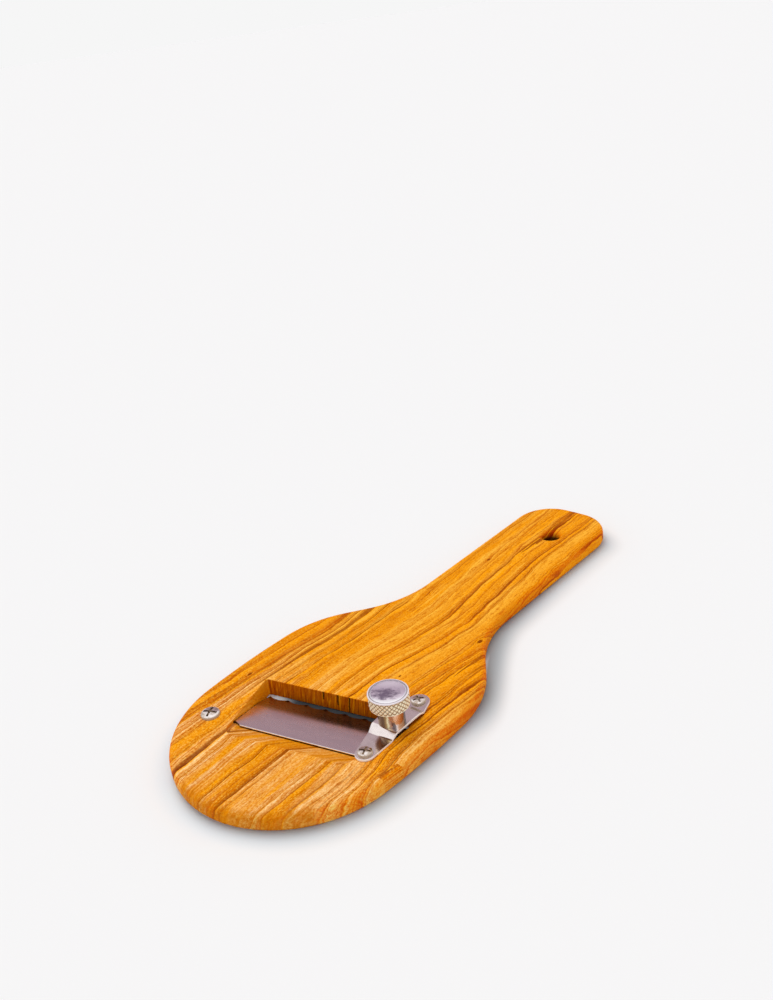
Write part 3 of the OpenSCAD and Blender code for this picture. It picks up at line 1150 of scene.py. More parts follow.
@dataclass(frozen=True)
class BladeSteel:
    """The blade's finish: satin on top, a painted dark reflection towards its far edge, and a painted
    highlight on its near edge over a line of painted shade.
    """

    bed: "BladeBed"
    colour: Point = (0.84, 0.71, 0.72)
    shade: Point = (0.75, 0.63, 0.66)
    straw: Point = (0.44, 0.33, 0.09)
    dark_reflection: Point = (0.13, 0.10, 0.06)
    glint: Point = (1.0, 0.98, 0.96)
    # Near black, for real nicks and for painted shade and dark reflection
    soot_and_shade: Point = (0.03, 0.022, 0.02)

    ground: Pattern = Pattern((0.35, 7.0, 7.0), detail=3.0, rough=0.65)
    clouded: Pattern = Pattern((0.09, 0.22, 0.0), (0.0, 0.0, 4.0), 3.0, 0.6)
    nicked: Pattern = Pattern((1.6, 1.6, 1.6), detail=3.0, rough=0.7)
    shaded: Mask = Mask(0.35, 0.65, 0.8)
    grind_share: float = 0.5
    nicks: Mask = Mask(0.66, 0.74, 0.35)
    # Painted reflection of the far wall towards the blade's far edge
    far_reflection: Mask = Mask(20.4, 24.6, 0.93)
    far_reflection_wander: float = 1.6
    far_reflection_right: Mask = Mask(-16.0, 10.0)
    reflection_blot_reach: Band = Band((21.5, 23.5), (29.0, 26.0))
    reflection_blot_nicks: Mask = Mask(0.60, 0.38)
    reflection_blot_right: Mask = Mask(-6.0, 14.0, 0.8)

    first: float = -21.5
    pitch: float = 8.7
    cusp: Mask = Mask(0.12, 0.04, 0.9)
    cusp_reach: Mask = Mask(29.6, 30.4)
    near: float = 6.4
    corner_at: float = -17.3
    corner_way: Point = (0.459, 0.888)
    corner: Mask = Mask(0.40, 0.15)
    left_gap: float = 0.2
    left_flare: float = 0.0836
    left_start: float = 4.0
    left: Mask = Mask(0.42, 0.18)
    left_reach: Mask = Mask(7.5, 8.5)
    left_nicks: Mask = Mask(0.40, 0.52)
    dark_share: float = 0.9
    rim: Point = (0.50, 0.38)
    # Painted shade under the near edge's highlight
    under: Mask = Mask(0.50, 0.40)

    rough: float = 0.28
    grind_rough: float = 0.12
    cloud_rough: float = 0.16
    rim_rough: float = 0.1
    relief: float = 0.0015

    def make(self) -> bpy.types.Material:
        """Build the material.

        Returns:
            The steel.
        """
        p = Patch("blade_steel")
        x, y, z = p.places()
        u, s = self.bed.axes(x, y)
        fine, cloud, nick = (p.noise(pattern, u, s, z)
                             for pattern in (self.ground, self.clouded, self.nicked))
        tone = p.mix(self.shaded.over(cloud) + (fine - 0.5) * self.grind_share, self.colour, self.shade)
        tone = p.mix(self.nicks.over(nick), tone, self.soot_and_shade)
        # Painted reflection: the far part of the blade turns straw and dark brown, the far wall seen in
        # the steel
        tint = p.mix(self.far_reflection_right.over(u), self.straw, self.dark_reflection)
        tone = p.mix(self.far_reflection.over(s + (cloud - 0.5) * self.far_reflection_wander), tone, tint)
        # Darker painted blots within that reflection
        reflection_blot = self.reflection_blot_reach.over(s) * self.reflection_blot_nicks.over(nick) * self.reflection_blot_right.over(u)
        tone = p.mix(reflection_blot, tone, self.soot_and_shade)
        # Painted shade: small dark marks at the cusps of the wavy edge
        wave = (u - self.first) / self.pitch + 0.5
        cusp = self.cusp.over(abs(wave.maths("FRACT", wave) - 0.5)) * self.cusp_reach.over(s)
        tone = p.mix(cusp, tone, self.soot_and_shade)
        # Painted shade along the cut corner and the left edge
        tone = p.mix(self.dark_edges(u, s, nick) * self.dark_share, tone, self.soot_and_shade)
        rise = z - (self.bed.board_t - s * math.tan(math.radians(self.bed.slope)))
        # Painted highlight along the near edge, with painted shade on its lower part
        rim = s.step(*(self.near + width for width in self.rim))
        tone = p.mix(rim, tone, self.glint)
        tone = p.mix(rim * self.under.over(rise), tone, self.soot_and_shade)
        rough = (self.rough + (fine - 0.5) * self.grind_rough + (cloud - 0.5) * self.cloud_rough
                 - rim * self.rim_rough)
        return p.finish(Base_Color=tone, Metallic=1.0, Roughness=rough,
                        Normal=p.bump(fine, self.relief))

    def dark_edges(self, u: Value, s: Value, nick: Value) -> Value:
        """Mask of the painted shade line along the cut corner and, in places, along the left edge.

        Args:
            u: Place across the blade.
            s: Its reach.
            nick: The noise that breaks the line up.

        Returns:
            The mask.
        """
        c, k = self.corner_way
        corner = self.corner.over((u - self.corner_at) * c + (s - self.near) * k)
        edge = u - self.left_gap + self.bed.left + (s - self.left_start) * self.left_flare
        left = self.left.over(edge) * self.left_reach.over(s) * self.left_nicks.over(nick)
        return corner.maths("MAXIMUM", corner, left)


# Pieces

@dataclass
class Piece:
    """A finished piece: its mesh, the CAD body that it rides on and what it stands for."""

    name: str
    body: str
    node: str
    slot: str
    crease: float = 35.0

    def build(self, mould: Mould, *materials: bpy.types.Material) -> bpy.types.Object:
        """Turn a mould into the piece.

        Args:
            mould: The mesh in millimetres, in the board's frame.
            materials: Its finish, and a second one where some faces have it.

        Returns:
            The object, in metres.
        """
        bm = mould.bm
        bmesh.ops.scale(bm, vec=Vector((MM, MM, MM)), verts=bm.verts[:])
        for face in bm.faces:
            face.smooth = True
        for edge in bm.edges:
            edge.smooth = rise_angle(edge) < self.crease
        made = mould.as_object(self.name)
        bm.free()
        for material in materials:
            made.data.materials.append(material)
        normals = made.modifiers.new("even_shading", "WEIGHTED_NORMAL")
        normals.keep_sharp = True
        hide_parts(self.node)
        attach(made, self.body)
        made.data.calc_loop_triangles()
        log.info("%s: %d triangles, rides on %s", self.name, len(made.data.loop_triangles), self.body)
        return made


@dataclass
class BladeBed:
    """The sloped bed that the blade lies on, and the frame that it sets."""

    board_t: float = 7.6
    skew: float = 13.6
    slope: float = 13.2
    start_y: float = -86.8
    far_wall: float = 33.7
    left: float = 21.0
    flare: float = 2.4
    right: float = 33.8
    ledge_end: float = 7.9
    relief: float = 18.0
    wedge_end: float = 22.5
    near_corner: float = 5.0
    far_corner: float = 1.0
    flare_start: float = 4.0
    ear: Point = (36.9, -62.6)
    block_half: float = 60.0
    block_start: float = -6.0
    block_over: float = 8.0
    block_under: float = 2.0
    block_deep: float = 5.0
    near_steps: int = 12
    far_steps: int = 10

    def height(self, reach: float) -> float:
        """Height of the bed at a reach from its start."""
        return self.board_t - math.tan(math.radians(self.slope)) * reach

    def side(self, reach: float) -> float:
        """Left wall of the bed, across, at a reach."""
        length = self.far_wall - self.far_corner - self.flare_start
        return -self.left - self.flare * (reach - self.flare_start) / length

    def axes(self, x: Value, y: Value) -> tuple:
        """Turn a point of a material into the blade's frame.

        Args:
            x: Its place across the board.
            y: Its place along the board.

        Returns:
            Its place across and its reach.
        """
        c, k = math.cos(math.radians(self.skew)), math.sin(math.radians(self.skew))
        rise = y - self.start_y
        return x * c + rise * k, rise * c - x * k

    def turn(self) -> Matrix:
        """From the blade's frame on the flat to the board's frame."""
        return (Matrix.Translation((0, self.start_y, 0))
                @ Matrix.Rotation(math.radians(self.skew), 4, "Z"))

    def lay(self) -> Matrix:
        """From a flat drawing to the bed's sloping plane."""
        return (self.turn() @ Matrix.Translation((0, 0, self.board_t))
                @ Matrix.Rotation(math.radians(-self.slope), 4, "X"))

    def frame_of(self, place: Point) -> Vector:
        """Across and reach of a place on the board."""
        return (self.turn().inverted() @ Vector((place[0], place[1], 0))).to_2d()

    def space(self, reach: float, lid: Optional[float] = None) -> Mould:
        """Space over the bed and down through the mouth.

        Args:
            reach: How far it runs.
            lid: Its height over the bed, or None where it is open above.

        Returns:
            The space as a block, in the blade's frame.
        """
        start, under, over = self.block_start, -self.block_under, self.board_t + self.block_over
        low = self.height(self.ledge_end) - math.tan(math.radians(self.relief)) * (
            self.wedge_end - self.ledge_end)
        top = [(reach, over), (start, over)]
        if lid is not None:
            top = [(reach, self.height(reach) + lid), (start, self.height(start) + lid)]
        made = Mould()
        made.chain([(-self.block_half, s, z) for s, z in [
            (start, self.height(start)), (self.ledge_end, self.height(self.ledge_end)),
            (self.wedge_end, low), (self.wedge_end, under), (reach, under), *top]])
        made.close()
        made.raise_faces((2 * self.block_half, 0, 0))
        return made

    def cutter(self) -> Mould:
        """The block that cuts the bed and the mouth.

        Returns:
            The block, in the board's frame.
        """
        ear_low = self.frame_of(self.ear)
        slant = math.tan(math.radians(self.skew))
        plan, quarter = Mould(), 90.0
        pen = Pen(plan, (-self.left + self.near_corner, 0))
        pen.to((self.right - self.near_corner, 0))
        pen.arc(self.near_corner, quarter, self.near_steps)
        pen.to((self.right, ear_low.y + (ear_low.x - self.right) * slant))
        pen.to(ear_low)
        pen.to((ear_low.x + (self.far_wall - ear_low.y) * slant, self.far_wall))
        pen.to((self.side(self.far_wall - self.far_corner) + self.far_corner, self.far_wall))
        pen.heading = 2 * quarter
        pen.arc(self.far_corner, quarter, self.far_steps)
        pen.to((-self.left, self.near_corner))
        pen.heading = 3 * quarter
        pen.arc(self.near_corner, quarter, self.near_steps)
        plan.close()
        plan.move((0, 0, -self.block_deep))
        plan.raise_faces((0, 0, self.board_t + 3 * self.block_deep))
        plan.carve(self.space(self.block_half), keep=Cut.SHARED)
        plan.place(self.turn())
        return plan

    def kerf(self, near: float, far: float, length: float, lid: float) -> Mould:
        """The saw kerf that takes the blade's tongue, to the left of the bed.

        Args:
            near: Where it starts, as a reach.
            far: Where it ends.
            length: How far it runs into the wood.
            lid: Its height.

        Returns:
            The block that cuts it, in the board's frame.
        """
        inner, outer = -self.left + self.near_corner, -self.left - length
        block = prism([(outer, near), (inner, near), (inner, far), (outer, far)],
                      -PAST, self.board_t + PAST)
        block.carve(self.space(self.block_half / 2, lid), keep=Cut.SHARED)
        block.place(self.turn())
        return block


@dataclass
class Board:
    """The paddle of olive wood, with its mouth, hang hole and screw holes."""

    bed: BladeBed
    length: float = 240.0
    width: float = 96.84
    handle: float = 43.6
    thickness: float = 7.6
    edge: float = 2.6
    near_share: float = 0.979
    near_sweep: float = 85.0
    side_share: float = 6.38
    side_heading: float = 93.06
    shoulder: float = 47.0
    flank_heading: float = 127.97
    neck: float = 47.8
    handle_heading: float = 89.69
    corner: float = 17.3
    end_heading: float = 178.67
    hole: Point = (2.5, 93.4)
    hole_r: float = 4.2
    hole_rim: float = 2.4
    mouth_rim: float = 0.35
    screws: Sequence[Point] = ((33.7, -71.3), (31.0, -38.9), (-32.4, -87.0))
    pilot_r: float = 1.45
    pilot_depth: float = 6.1
    arc_steps: Sequence[int] = (44, 6, 18, 20, 26, 4)
    edge_steps: int = 8
    mouth_steps: int = 3
    hole_sides: int = 72
    pilot_sides: int = 24
    kerf: Point = (7.5, 14.0, 15.0)
    kerf_play: float = 0.12
    blade_t: float = 0.8
    level: float = 0.01
    near_by: float = 0.1
    rim_angle: float = 40.0

    def outline(self, pen: Pen) -> None:
        """Draw the right half of the outline, from the near end to the handle's end.

        Args:
            pen: The pen, which stands at the near end.
        """
        half = self.width / 2
        near, side, shoulder, neck, corner, end = self.arc_steps
        pen.arc(half * self.near_share, self.near_sweep, near)
        pen.arc(half * self.side_share, self.side_heading - self.near_sweep, side)
        pen.arc(self.shoulder, self.flank_heading - self.side_heading, shoulder)
        neck_turn = self.handle_heading - self.flank_heading
        f, h, e = (math.radians(a) for a in (self.flank_heading, self.handle_heading, self.end_heading))
        neck_dx = -self.neck * (math.sin(h) - math.sin(f))
        pen.ahead((pen.at.co.x + neck_dx - self.handle / 2) / -math.cos(f))
        pen.arc(self.neck, neck_turn, neck)
        corner_dy = self.corner * (math.cos(h) - math.cos(e))
        end_rise = (pen.at.co.x - self.corner) * math.tan((math.pi - e) / 2)
        pen.ahead((self.length / 2 - corner_dy - end_rise - pen.at.co.y) / math.sin(h))
        pen.arc(self.corner, self.end_heading - self.handle_heading, corner)
        pen.arc(pen.at.co.x / math.sin(math.pi - e), 180 - self.end_heading, end)
        pen.at.co.x = 0.0

    def shape(self) -> Mould:
        """Build the board's mesh.

        Returns:
            The board.
        """
        board = Mould()
        self.outline(Pen(board, (0, -self.length / 2)))
        bmesh.ops.mirror(board.bm, geom=board.bm.verts[:] + board.bm.edges[:],
                         matrix=Matrix.Identity(4), merge_dist=TINY, axis="X")
        board.close()
        board.raise_faces((0, 0, self.thickness))
        board.soften(self.edge, self.edge_steps, lambda e: rise_angle(e) > SHARP and
                     abs(e.verts[0].co.z - e.verts[1].co.z) < TINY)
        rise = self.blade_t / math.cos(math.radians(self.bed.slope)) + self.kerf_play
        top = self.thickness + PAST
        board.carve(self.bed.cutter(), self.bed.kerf(*self.kerf, rise),
                    rod(self.hole, self.hole_r, -PAST, top, self.hole_sides))
        board.carve(*(rod(at, self.pilot_r, self.thickness - self.pilot_depth, top, self.pilot_sides)
                      for at in self.screws))
        board.soften(self.hole_rim, self.edge_steps, lambda e: self.on_rim(e) and self.by_hole(e))
        board.soften(self.mouth_rim, self.mouth_steps,
                     lambda e: self.on_rim(e) and not self.by_hole(e) and not self.by_screw(e))
        return board

    def on_rim(self, edge: bmesh.types.BMEdge) -> bool:
        """Tell whether a sharp edge lies in the top face or the sole.

        Args:
            edge: The edge.

        Returns:
            True where it does.
        """
        heights = [v.co.z for v in edge.verts]
        flat = any(all(abs(z - face) < self.level for z in heights) for face in (0.0, self.thickness))
        return flat and rise_angle(edge) > self.rim_angle

    def by_hole(self, edge: bmesh.types.BMEdge) -> bool:
        """Tell whether an edge belongs to the hang hole."""
        middle, reach = Vector(self.hole), self.hole_r + self.near_by
        return all((v.co.to_2d() - middle).length < reach for v in edge.verts)

    def by_screw(self, edge: bmesh.types.BMEdge) -> bool:
        """Tell whether an edge belongs to a screw's hole."""
        reach = self.pilot_r + self.near_by
        return any((edge.verts[0].co.to_2d() - Vector(at)).length < reach for at in self.screws)


@dataclass
class Blade:
    """The thin steel blade with its wavy ground edge, its tongue and its ear."""

    bed: BladeBed
    thickness: float = 0.8
    near: float = 6.4
    far: float = 31.3
    left: float = 21.9
    pitch: float = 8.7
    depth: float = 1.3
    tooth: float = 0.6
    gap: float = 0.06
    side_gap: float = 0.2
    ear_inset: float = 0.5
    tongue: Point = (8.0, 13.5)
    tongue_len: float = 14.0
    clamp: Point = (-32.4, -87.0)
    clamp_r: float = 1.9
    grind: float = 1.5
    grind_slope: float = 2.6
    near_round: float = 0.26
    slack: float = 0.1
    waves: int = 7
    margin: float = 0.4
    wave_steps: int = 14
    near_corner: float = 4.6
    wall_start: float = 7.0
    notch: Point = (2.0, 0.8)
    clamp_sides: int = 32
    wave_sides: int = 128

    def shape(self) -> Mould:
        """Build the blade's mesh.

        Returns:
            The blade on its bed.
        """
        bed = self.bed
        k = 1 / math.cos(math.radians(bed.slope))
        slant = math.tan(math.radians(bed.skew))
        low = bed.frame_of((bed.ear[0] - self.ear_inset, bed.ear[1] + self.ear_inset))
        right = bed.right - self.margin
        high = Vector((low.x + (self.far - low.y) * slant, self.far))
        chord = (self.pitch - self.tooth) / 2
        wave_r = (chord ** 2 + self.depth ** 2) / (2 * self.depth)
        sweep = math.degrees(2 * math.asin(chord / wave_r))
        first = -self.left + self.margin
        blade = Mould()
        pen = Pen(blade, (-self.left + self.near_corner, self.near * k))
        corners = [(right, self.near), (right, low.y + (low.x - right) * slant), low, high]
        for u, s in corners:
            pen.to((u, s * k))
        tip = self.far * k
        for i in reversed(range(self.waves)):
            middle = first + self.pitch * (i + 0.5)
            pen.to((middle + chord, tip))
            pen.about((middle, tip - self.depth + wave_r), -sweep, self.wave_steps)
        t0, t1 = self.tongue
        end = -bed.left - self.tongue_len
        gap, wall = self.side_gap, self.far - self.wall_start
        for u, s in [(first, self.far), (bed.side(wall) + gap, wall), (bed.side(t1) + gap, t1),
                     (end, t1), (end, t0),
                     (bed.side(self.near + self.notch[0]) + gap + self.notch[1], t0)]:
            pen.to((u, s * k))
        blade.close()
        blade.raise_faces((0, 0, self.thickness))
        clamp = bed.frame_of(self.clamp)
        last = first + self.pitch * (self.waves + 0.5)
        blade.carve(rod((clamp.x, clamp.y * k), self.clamp_r, -PAST, 2 * PAST, self.clamp_sides),
                    rod((last, tip - self.depth + wave_r), wave_r, -PAST, 2 * PAST, self.wave_sides))
        blade.place(Matrix.Diagonal((1, 1, self.grind_slope, 1)))
        blade.soften(self.grind, 1, lambda e: all(
            abs(v.co.z) < TINY and v.co.y > tip - self.depth - self.slack and v.co.x > first - self.slack
            for v in e.verts) and rise_angle(e) > SHARP)
        blade.place(Matrix.Diagonal((1, 1, 1 / self.grind_slope, 1)))
        blade.soften(self.near_round, 2, lambda e: all(
            abs(v.co.z - self.thickness) < TINY and v.co.y < self.near * k + self.slack
            for v in e.verts) and rise_angle(e) > SHARP)
        blade.place(bed.lay() @ Matrix.Translation((0, 0, self.gap)))
        return blade


@dataclass
class Bridge:
    """The bent steel strip that carries the thumbscrew over the blade's ear."""

    near: Point = (33.7, -71.3)
    far: Point = (31.0, -38.9)
    thumb: Point = (31.35, -54.0)
    sheet: float = 0.9
    lift: float = 1.6
    base: float = 7.6
    near_r: float = 3.8
    far_r: float = 4.2
    left: float = 6.6
    right_near: float = 4.8
    right_far: float = 6.0
    bends: Sequence[float] = (-6.54, -3.54, 9.24, 12.04)
    bend_r: float = 0.55
    hole_r: float = 3.6
    screw_r: float = 1.55
    rim: float = 0.20
    shoulder: float = 0.36
    corner: float = 0.5
    end_steps: int = 24
    bend_cuts: int = 3
    block: Point = (5.0, 13.0)
    screw_sides: int = 32
    corner_steps: int = 4
    rim_steps: int = 2
    face_turn: float = 0.5

    def climb(self, along: float) -> float:
        """Height of the strip's underside over the board.

        Args:
            along: The place along the strip.

        Returns:
            The height.
        """
        up = self.lift / (self.bends[1] - self.bends[0])
        down = self.lift / (self.bends[3] - self.bends[2])
        total = 0.0
        for at, slope in zip(self.bends, (up, -up, -down, down)):
            past = min(max(along - at + self.bend_r, 0.0), 2 * self.bend_r)
            total += slope * (past ** 2 / (4 * self.bend_r) + max(along - at - self.bend_r, 0.0))
        return total

    @staticmethod
    def tangent(centre: Vector, radius: float, place: Vector, side: int) -> Vector:
        """Where the tangent from a place touches a circle.

        Args:
            centre: The circle's middle.
            radius: Its radius.
            place: The place.
            side: 1 or -1, for the one or the other tangent.

        Returns:
            The point of touch.
        """
        v = place - centre
        a = math.atan2(v.y, v.x) + side * math.acos(radius / v.length)
        return centre + radius * Vector((math.cos(a), math.sin(a)))

    def shape(self) -> Mould:
        """Build the strip's mesh.

        Returns:
            The strip on the board.
        """
        near, far = Vector(self.near), Vector(self.far)
        half = (far - near).length / 2
        turn = math.atan2(near.x - far.x, far.y - near.y)
        frame_in = Matrix.Translation(((near + far) / 2).to_3d()) @ Matrix.Rotation(turn, 4, "Z")
        low, top = Vector((0, -half)), Vector((0, half))
        start, end = self.bends[1] - self.shoulder, self.bends[2] + self.shoulder
        nr, nl = Vector((self.right_near, start)), Vector((-self.left, start))
        fr, fl = Vector((self.right_far, end)), Vector((-self.left, end))
        a, b = self.tangent(low, self.near_r, nr, -1), self.tangent(low, self.near_r, nl, 1)
        c, d = self.tangent(top, self.far_r, fr, 1), self.tangent(top, self.far_r, fl, -1)
        plan = Mould()
        pen = Pen(plan, a)
        for place in (nr, fr, c):
            pen.to(place)
        pen.about(top, -math.degrees((c - top).angle_signed(d - top)) % 360, self.end_steps)
        for place in (fl, nl, b):
            pen.to(place)
        pen.about(low, -math.degrees((b - low).angle_signed(a - low)) % 360, self.end_steps)
        plan.close()
        bm = plan.bm
        corners = [v for v in bm.verts
                   if any((v.co.to_2d() - q).length < TINY for q in (nr, fr, fl, nl))]
        bmesh.ops.bevel(bm, geom=corners, offset=self.corner, offset_type="OFFSET",
                        segments=self.corner_steps, profile=0.5, affect="VERTICES", material=-1)
        for at in self.bends:
            for i in range(-self.bend_cuts, self.bend_cuts + 1):
                bmesh.ops.bisect_plane(bm, geom=bm.verts[:] + bm.edges[:] + bm.faces[:],
                                       plane_co=(0, at + self.bend_r * i / self.bend_cuts, 0),
                                       plane_no=(0, 1, 0))
        for vert in bm.verts:
            vert.co.z = self.base + self.climb(vert.co.y)
        bmesh.ops.solidify(bm, geom=bm.faces[:], thickness=-self.sheet)
        bmesh.ops.recalc_face_normals(bm, faces=bm.faces[:])
        plan.place(frame_in)
        plan.carve(rod(self.thumb, self.hole_r, *self.block),
                   *(rod(at, self.screw_r, *self.block, self.screw_sides) for at in (self.near, self.far)))
        plan.soften(self.rim, self.rim_steps, self.on_face)
        return plan

    def on_face(self, edge: bmesh.types.BMEdge) -> bool:
        """Tell whether a sharp edge bounds the strip's upper or lower face.

        Args:
            edge: The edge.

        Returns:
            True where it does.
        """
        one, other = (face.normal.z for face in edge.link_faces)
        return rise_angle(edge) > SHARP and abs(one - other) > self.face_turn


@dataclass
class Thumbscrew:
    """The knurled thumbscrew, its threaded stud and the tapped bush that it turns in."""

    axis: Point = (31.35, -54.0)
    plate_top: float = 10.1
    bush_r: float = 5.0
    bush_h: float = 5.85
    thread_r: float = 2.5
    root_r: float = 2.05
    pitch: float = 0.8
    bore_r: float = 2.56
    tip_z: float = 2.56
    head_base: float = 17.1
    head_h: float = 5.6
    head_r: float = 7.7
    diamonds: int = 27
    rows: int = 5
    knurl_depth: float = 0.48
    nub_size: float = 0.46
    sheet: float = 0.9
    seat_share: float = 0.72
    seat_play: float = 0.05
    plain_end: float = 3.4
    thread_profile: Sequence[float] = (0.88, 0.56, 0.44, 0.12)
    thread_steps: int = 32
    tip_steps: int = 8
    band_foot: float = 0.45
    band_top: float = 0.75
    neck_wall: float = 1.07
    rivet: Sequence[Point] = ((0.4, -0.7), (0.6, -0.5), (0.6, -0.03), (0.0, -0.03))
    collar_foot: Sequence[Point] = ((-0.12, 0.0), (0.0, 0.12))
    collar_top: Sequence[Point] = ((0.0, -0.3), (-0.08, -0.1), (-0.3, 0.0))
    bore_top: Sequence[Point] = ((0.4, 0.0), (0.0, -0.4))
    bore_foot: Point = (0.0, -0.7)
    bush_sides: int = 96
    thread_over: float = 0.2
    tip_over: float = 0.25
    weld: float = 0.002
    rim_in: float = 0.12
    groove_in: float = 1.05
    head_bore: Sequence[Point] = ((0.0, 0.3), (0.3, 0.0))
    head_foot: Sequence[Point] = ((-0.75, 0.0), (-0.3, 0.2))
    rim_ring: Sequence[Point] = ((-0.12, -0.52), (0.0, -0.36), (-0.05, -0.16), (-0.28, 0.0))
    disc: Sequence[Point] = ((0.16, 0.0), (0.05, -0.12), (0.0, -0.55), (-0.16, -0.55), (-0.24, -0.30),
                             (-0.50, -0.14), (-0.95, -0.07), (-2.2, -0.03), (-4.2, 0.0))

    @staticmethod
    def profile(x: float, z: float, steps: Sequence[Point]) -> list:
        """Points of a profile, each by its distance from one corner."""
        return [(x + dx, z + dz) for dx, dz in steps]

    def bush(self) -> Mould:
        """Build the tapped bush, riveted over under the strip.

        Returns:
            The bush.
        """
        under, top = self.plate_top - self.sheet, self.plate_top + self.bush_h
        neck = self.thread_r + self.neck_wall
        foot = self.profile(self.bore_r, under, [self.bore_foot])
        return turned([
            *foot, *self.profile(neck, under, self.rivet), (neck, self.plate_top),
            *self.profile(self.bush_r, self.plate_top, self.collar_foot),
            *self.profile(self.bush_r, top, self.collar_top),
            *self.profile(self.bore_r, top, self.bore_top), *foot], self.axis, self.bush_sides)

    def stud(self) -> Mould:
        """Build the stud, with a real thread and a rounded tip.

        Returns:
            The stud.
        """
        top = self.head_base + self.head_h * self.seat_share
        start = self.tip_z + self.plain_end
        turns = int((top - start) / self.pitch) + 2
        p, low, high = self.pitch, self.root_r, self.thread_r
        foot, crest, crest_end, root = (start - share * p for share in self.thread_profile)
        stud = Mould()
        stud.chain([(low, 0, start - p), (low, 0, foot), (high, 0, crest), (high, 0, crest_end),
                    (low, 0, root), (low, 0, start)])
        bmesh.ops.spin(stud.bm, geom=stud.bm.verts[:] + stud.bm.edges[:], cent=Vector(), axis=UP,
                       dvec=Vector((0, 0, p / self.thread_steps)), angle=2 * math.pi * turns,
                       steps=self.thread_steps * turns, use_merge=False, use_duplicate=False)
        bmesh.ops.remove_doubles(stud.bm, verts=stud.bm.verts, dist=self.weld)
        for height, side in ((start + self.thread_over, -1), (top, 1)):
            cut = bmesh.ops.bisect_plane(
                stud.bm, geom=stud.bm.verts[:] + stud.bm.edges[:] + stud.bm.faces[:],
                plane_co=(0, 0, height), plane_no=(0, 0, side), clear_outer=True)
            rim = [g for g in cut["geom_cut"] if isinstance(g, bmesh.types.BMEdge)]
            bmesh.ops.contextual_create(stud.bm, geom=rim)
        bmesh.ops.recalc_face_normals(stud.bm, faces=stud.bm.faces[:])
        stud.move((self.axis[0], self.axis[1], 0))
        arc = [(self.root_r * math.sin(a), self.tip_z + self.root_r * (1 - math.cos(a)))
               for a in (math.radians(90 * i / self.tip_steps) for i in range(self.tip_steps + 1))]
        end = start + self.tip_over
        stud.join(turned([*arc, (self.root_r, end), (0.0, end)], self.axis, self.thread_steps))
        return stud

    def head(self) -> Mould:
        """Build the head: a ringed top over a band of raised diamonds.

        Returns:
            The head.
        """
        base, top = self.head_base, self.head_base + self.head_h
        seat, r = base + self.head_h * self.seat_share + self.seat_play, self.head_r
        low, high = base + self.band_foot, top - self.band_top
        rows = self.rows
        band = [(r, low + (high - low) * i / rows) for i in range(rows + 1)]
        head = turned([
            (0.0, seat), (self.bore_r, seat), *self.profile(self.bore_r, base, self.head_bore),
            *self.profile(r, base, self.head_foot), *band,
            *self.profile(r - self.rim_in, top, self.rim_ring),
            *self.profile(r - self.groove_in, top, self.disc), (0.0, top)],
            (0, 0), self.diamonds * 2)
        self.knurl(head, low, high, rows)
        head.move((self.axis[0], self.axis[1], 0))
        return head

    def knurl(self, head: Mould, low: float, high: float, rows: int) -> None:
        """Raise the band's lattice into diamonds.

        Args:
            head: The turned head, standing on the origin.
            low: The height where the band starts.
            high: The height where it ends.
            rows: The number of strips in it.
        """
        bm = head.bm
        kept = {}
        for vert in bm.verts:
            flat = vert.co.to_2d()
            if low - TINY < vert.co.z < high + TINY and abs(flat.length - self.head_r) < TINY:
                column = round(math.atan2(flat.y, flat.x) / math.pi * self.diamonds) % (2 * self.diamonds)
                row = round((vert.co.z - low) / (high - low) * rows)
                kept[vert] = (column + row) % 2
        faces = [f for f in bm.faces if all(v in kept for v in f.verts)]
        for face in faces:
            deep = [v for v in face.verts if kept[v]]
            if len(deep) == 2:
                bmesh.ops.connect_vert_pair(bm, verts=deep)
        for vert, deep in kept.items():
            edge_row = vert.co.z < low + TINY or vert.co.z > high - TINY
            drop = self.knurl_depth if deep else (0.5 * self.knurl_depth if edge_row else 0.0)
            vert.co.xy = vert.co.to_2d() * (1 - drop / self.head_r)
        peaks = [v for v, deep in kept.items() if not deep and low + TINY < v.co.z < high - TINY]
        bmesh.ops.bevel(bm, geom=peaks, offset=self.nub_size, offset_type="OFFSET", segments=1,
                        profile=0.5, affect="VERTICES", material=-1)


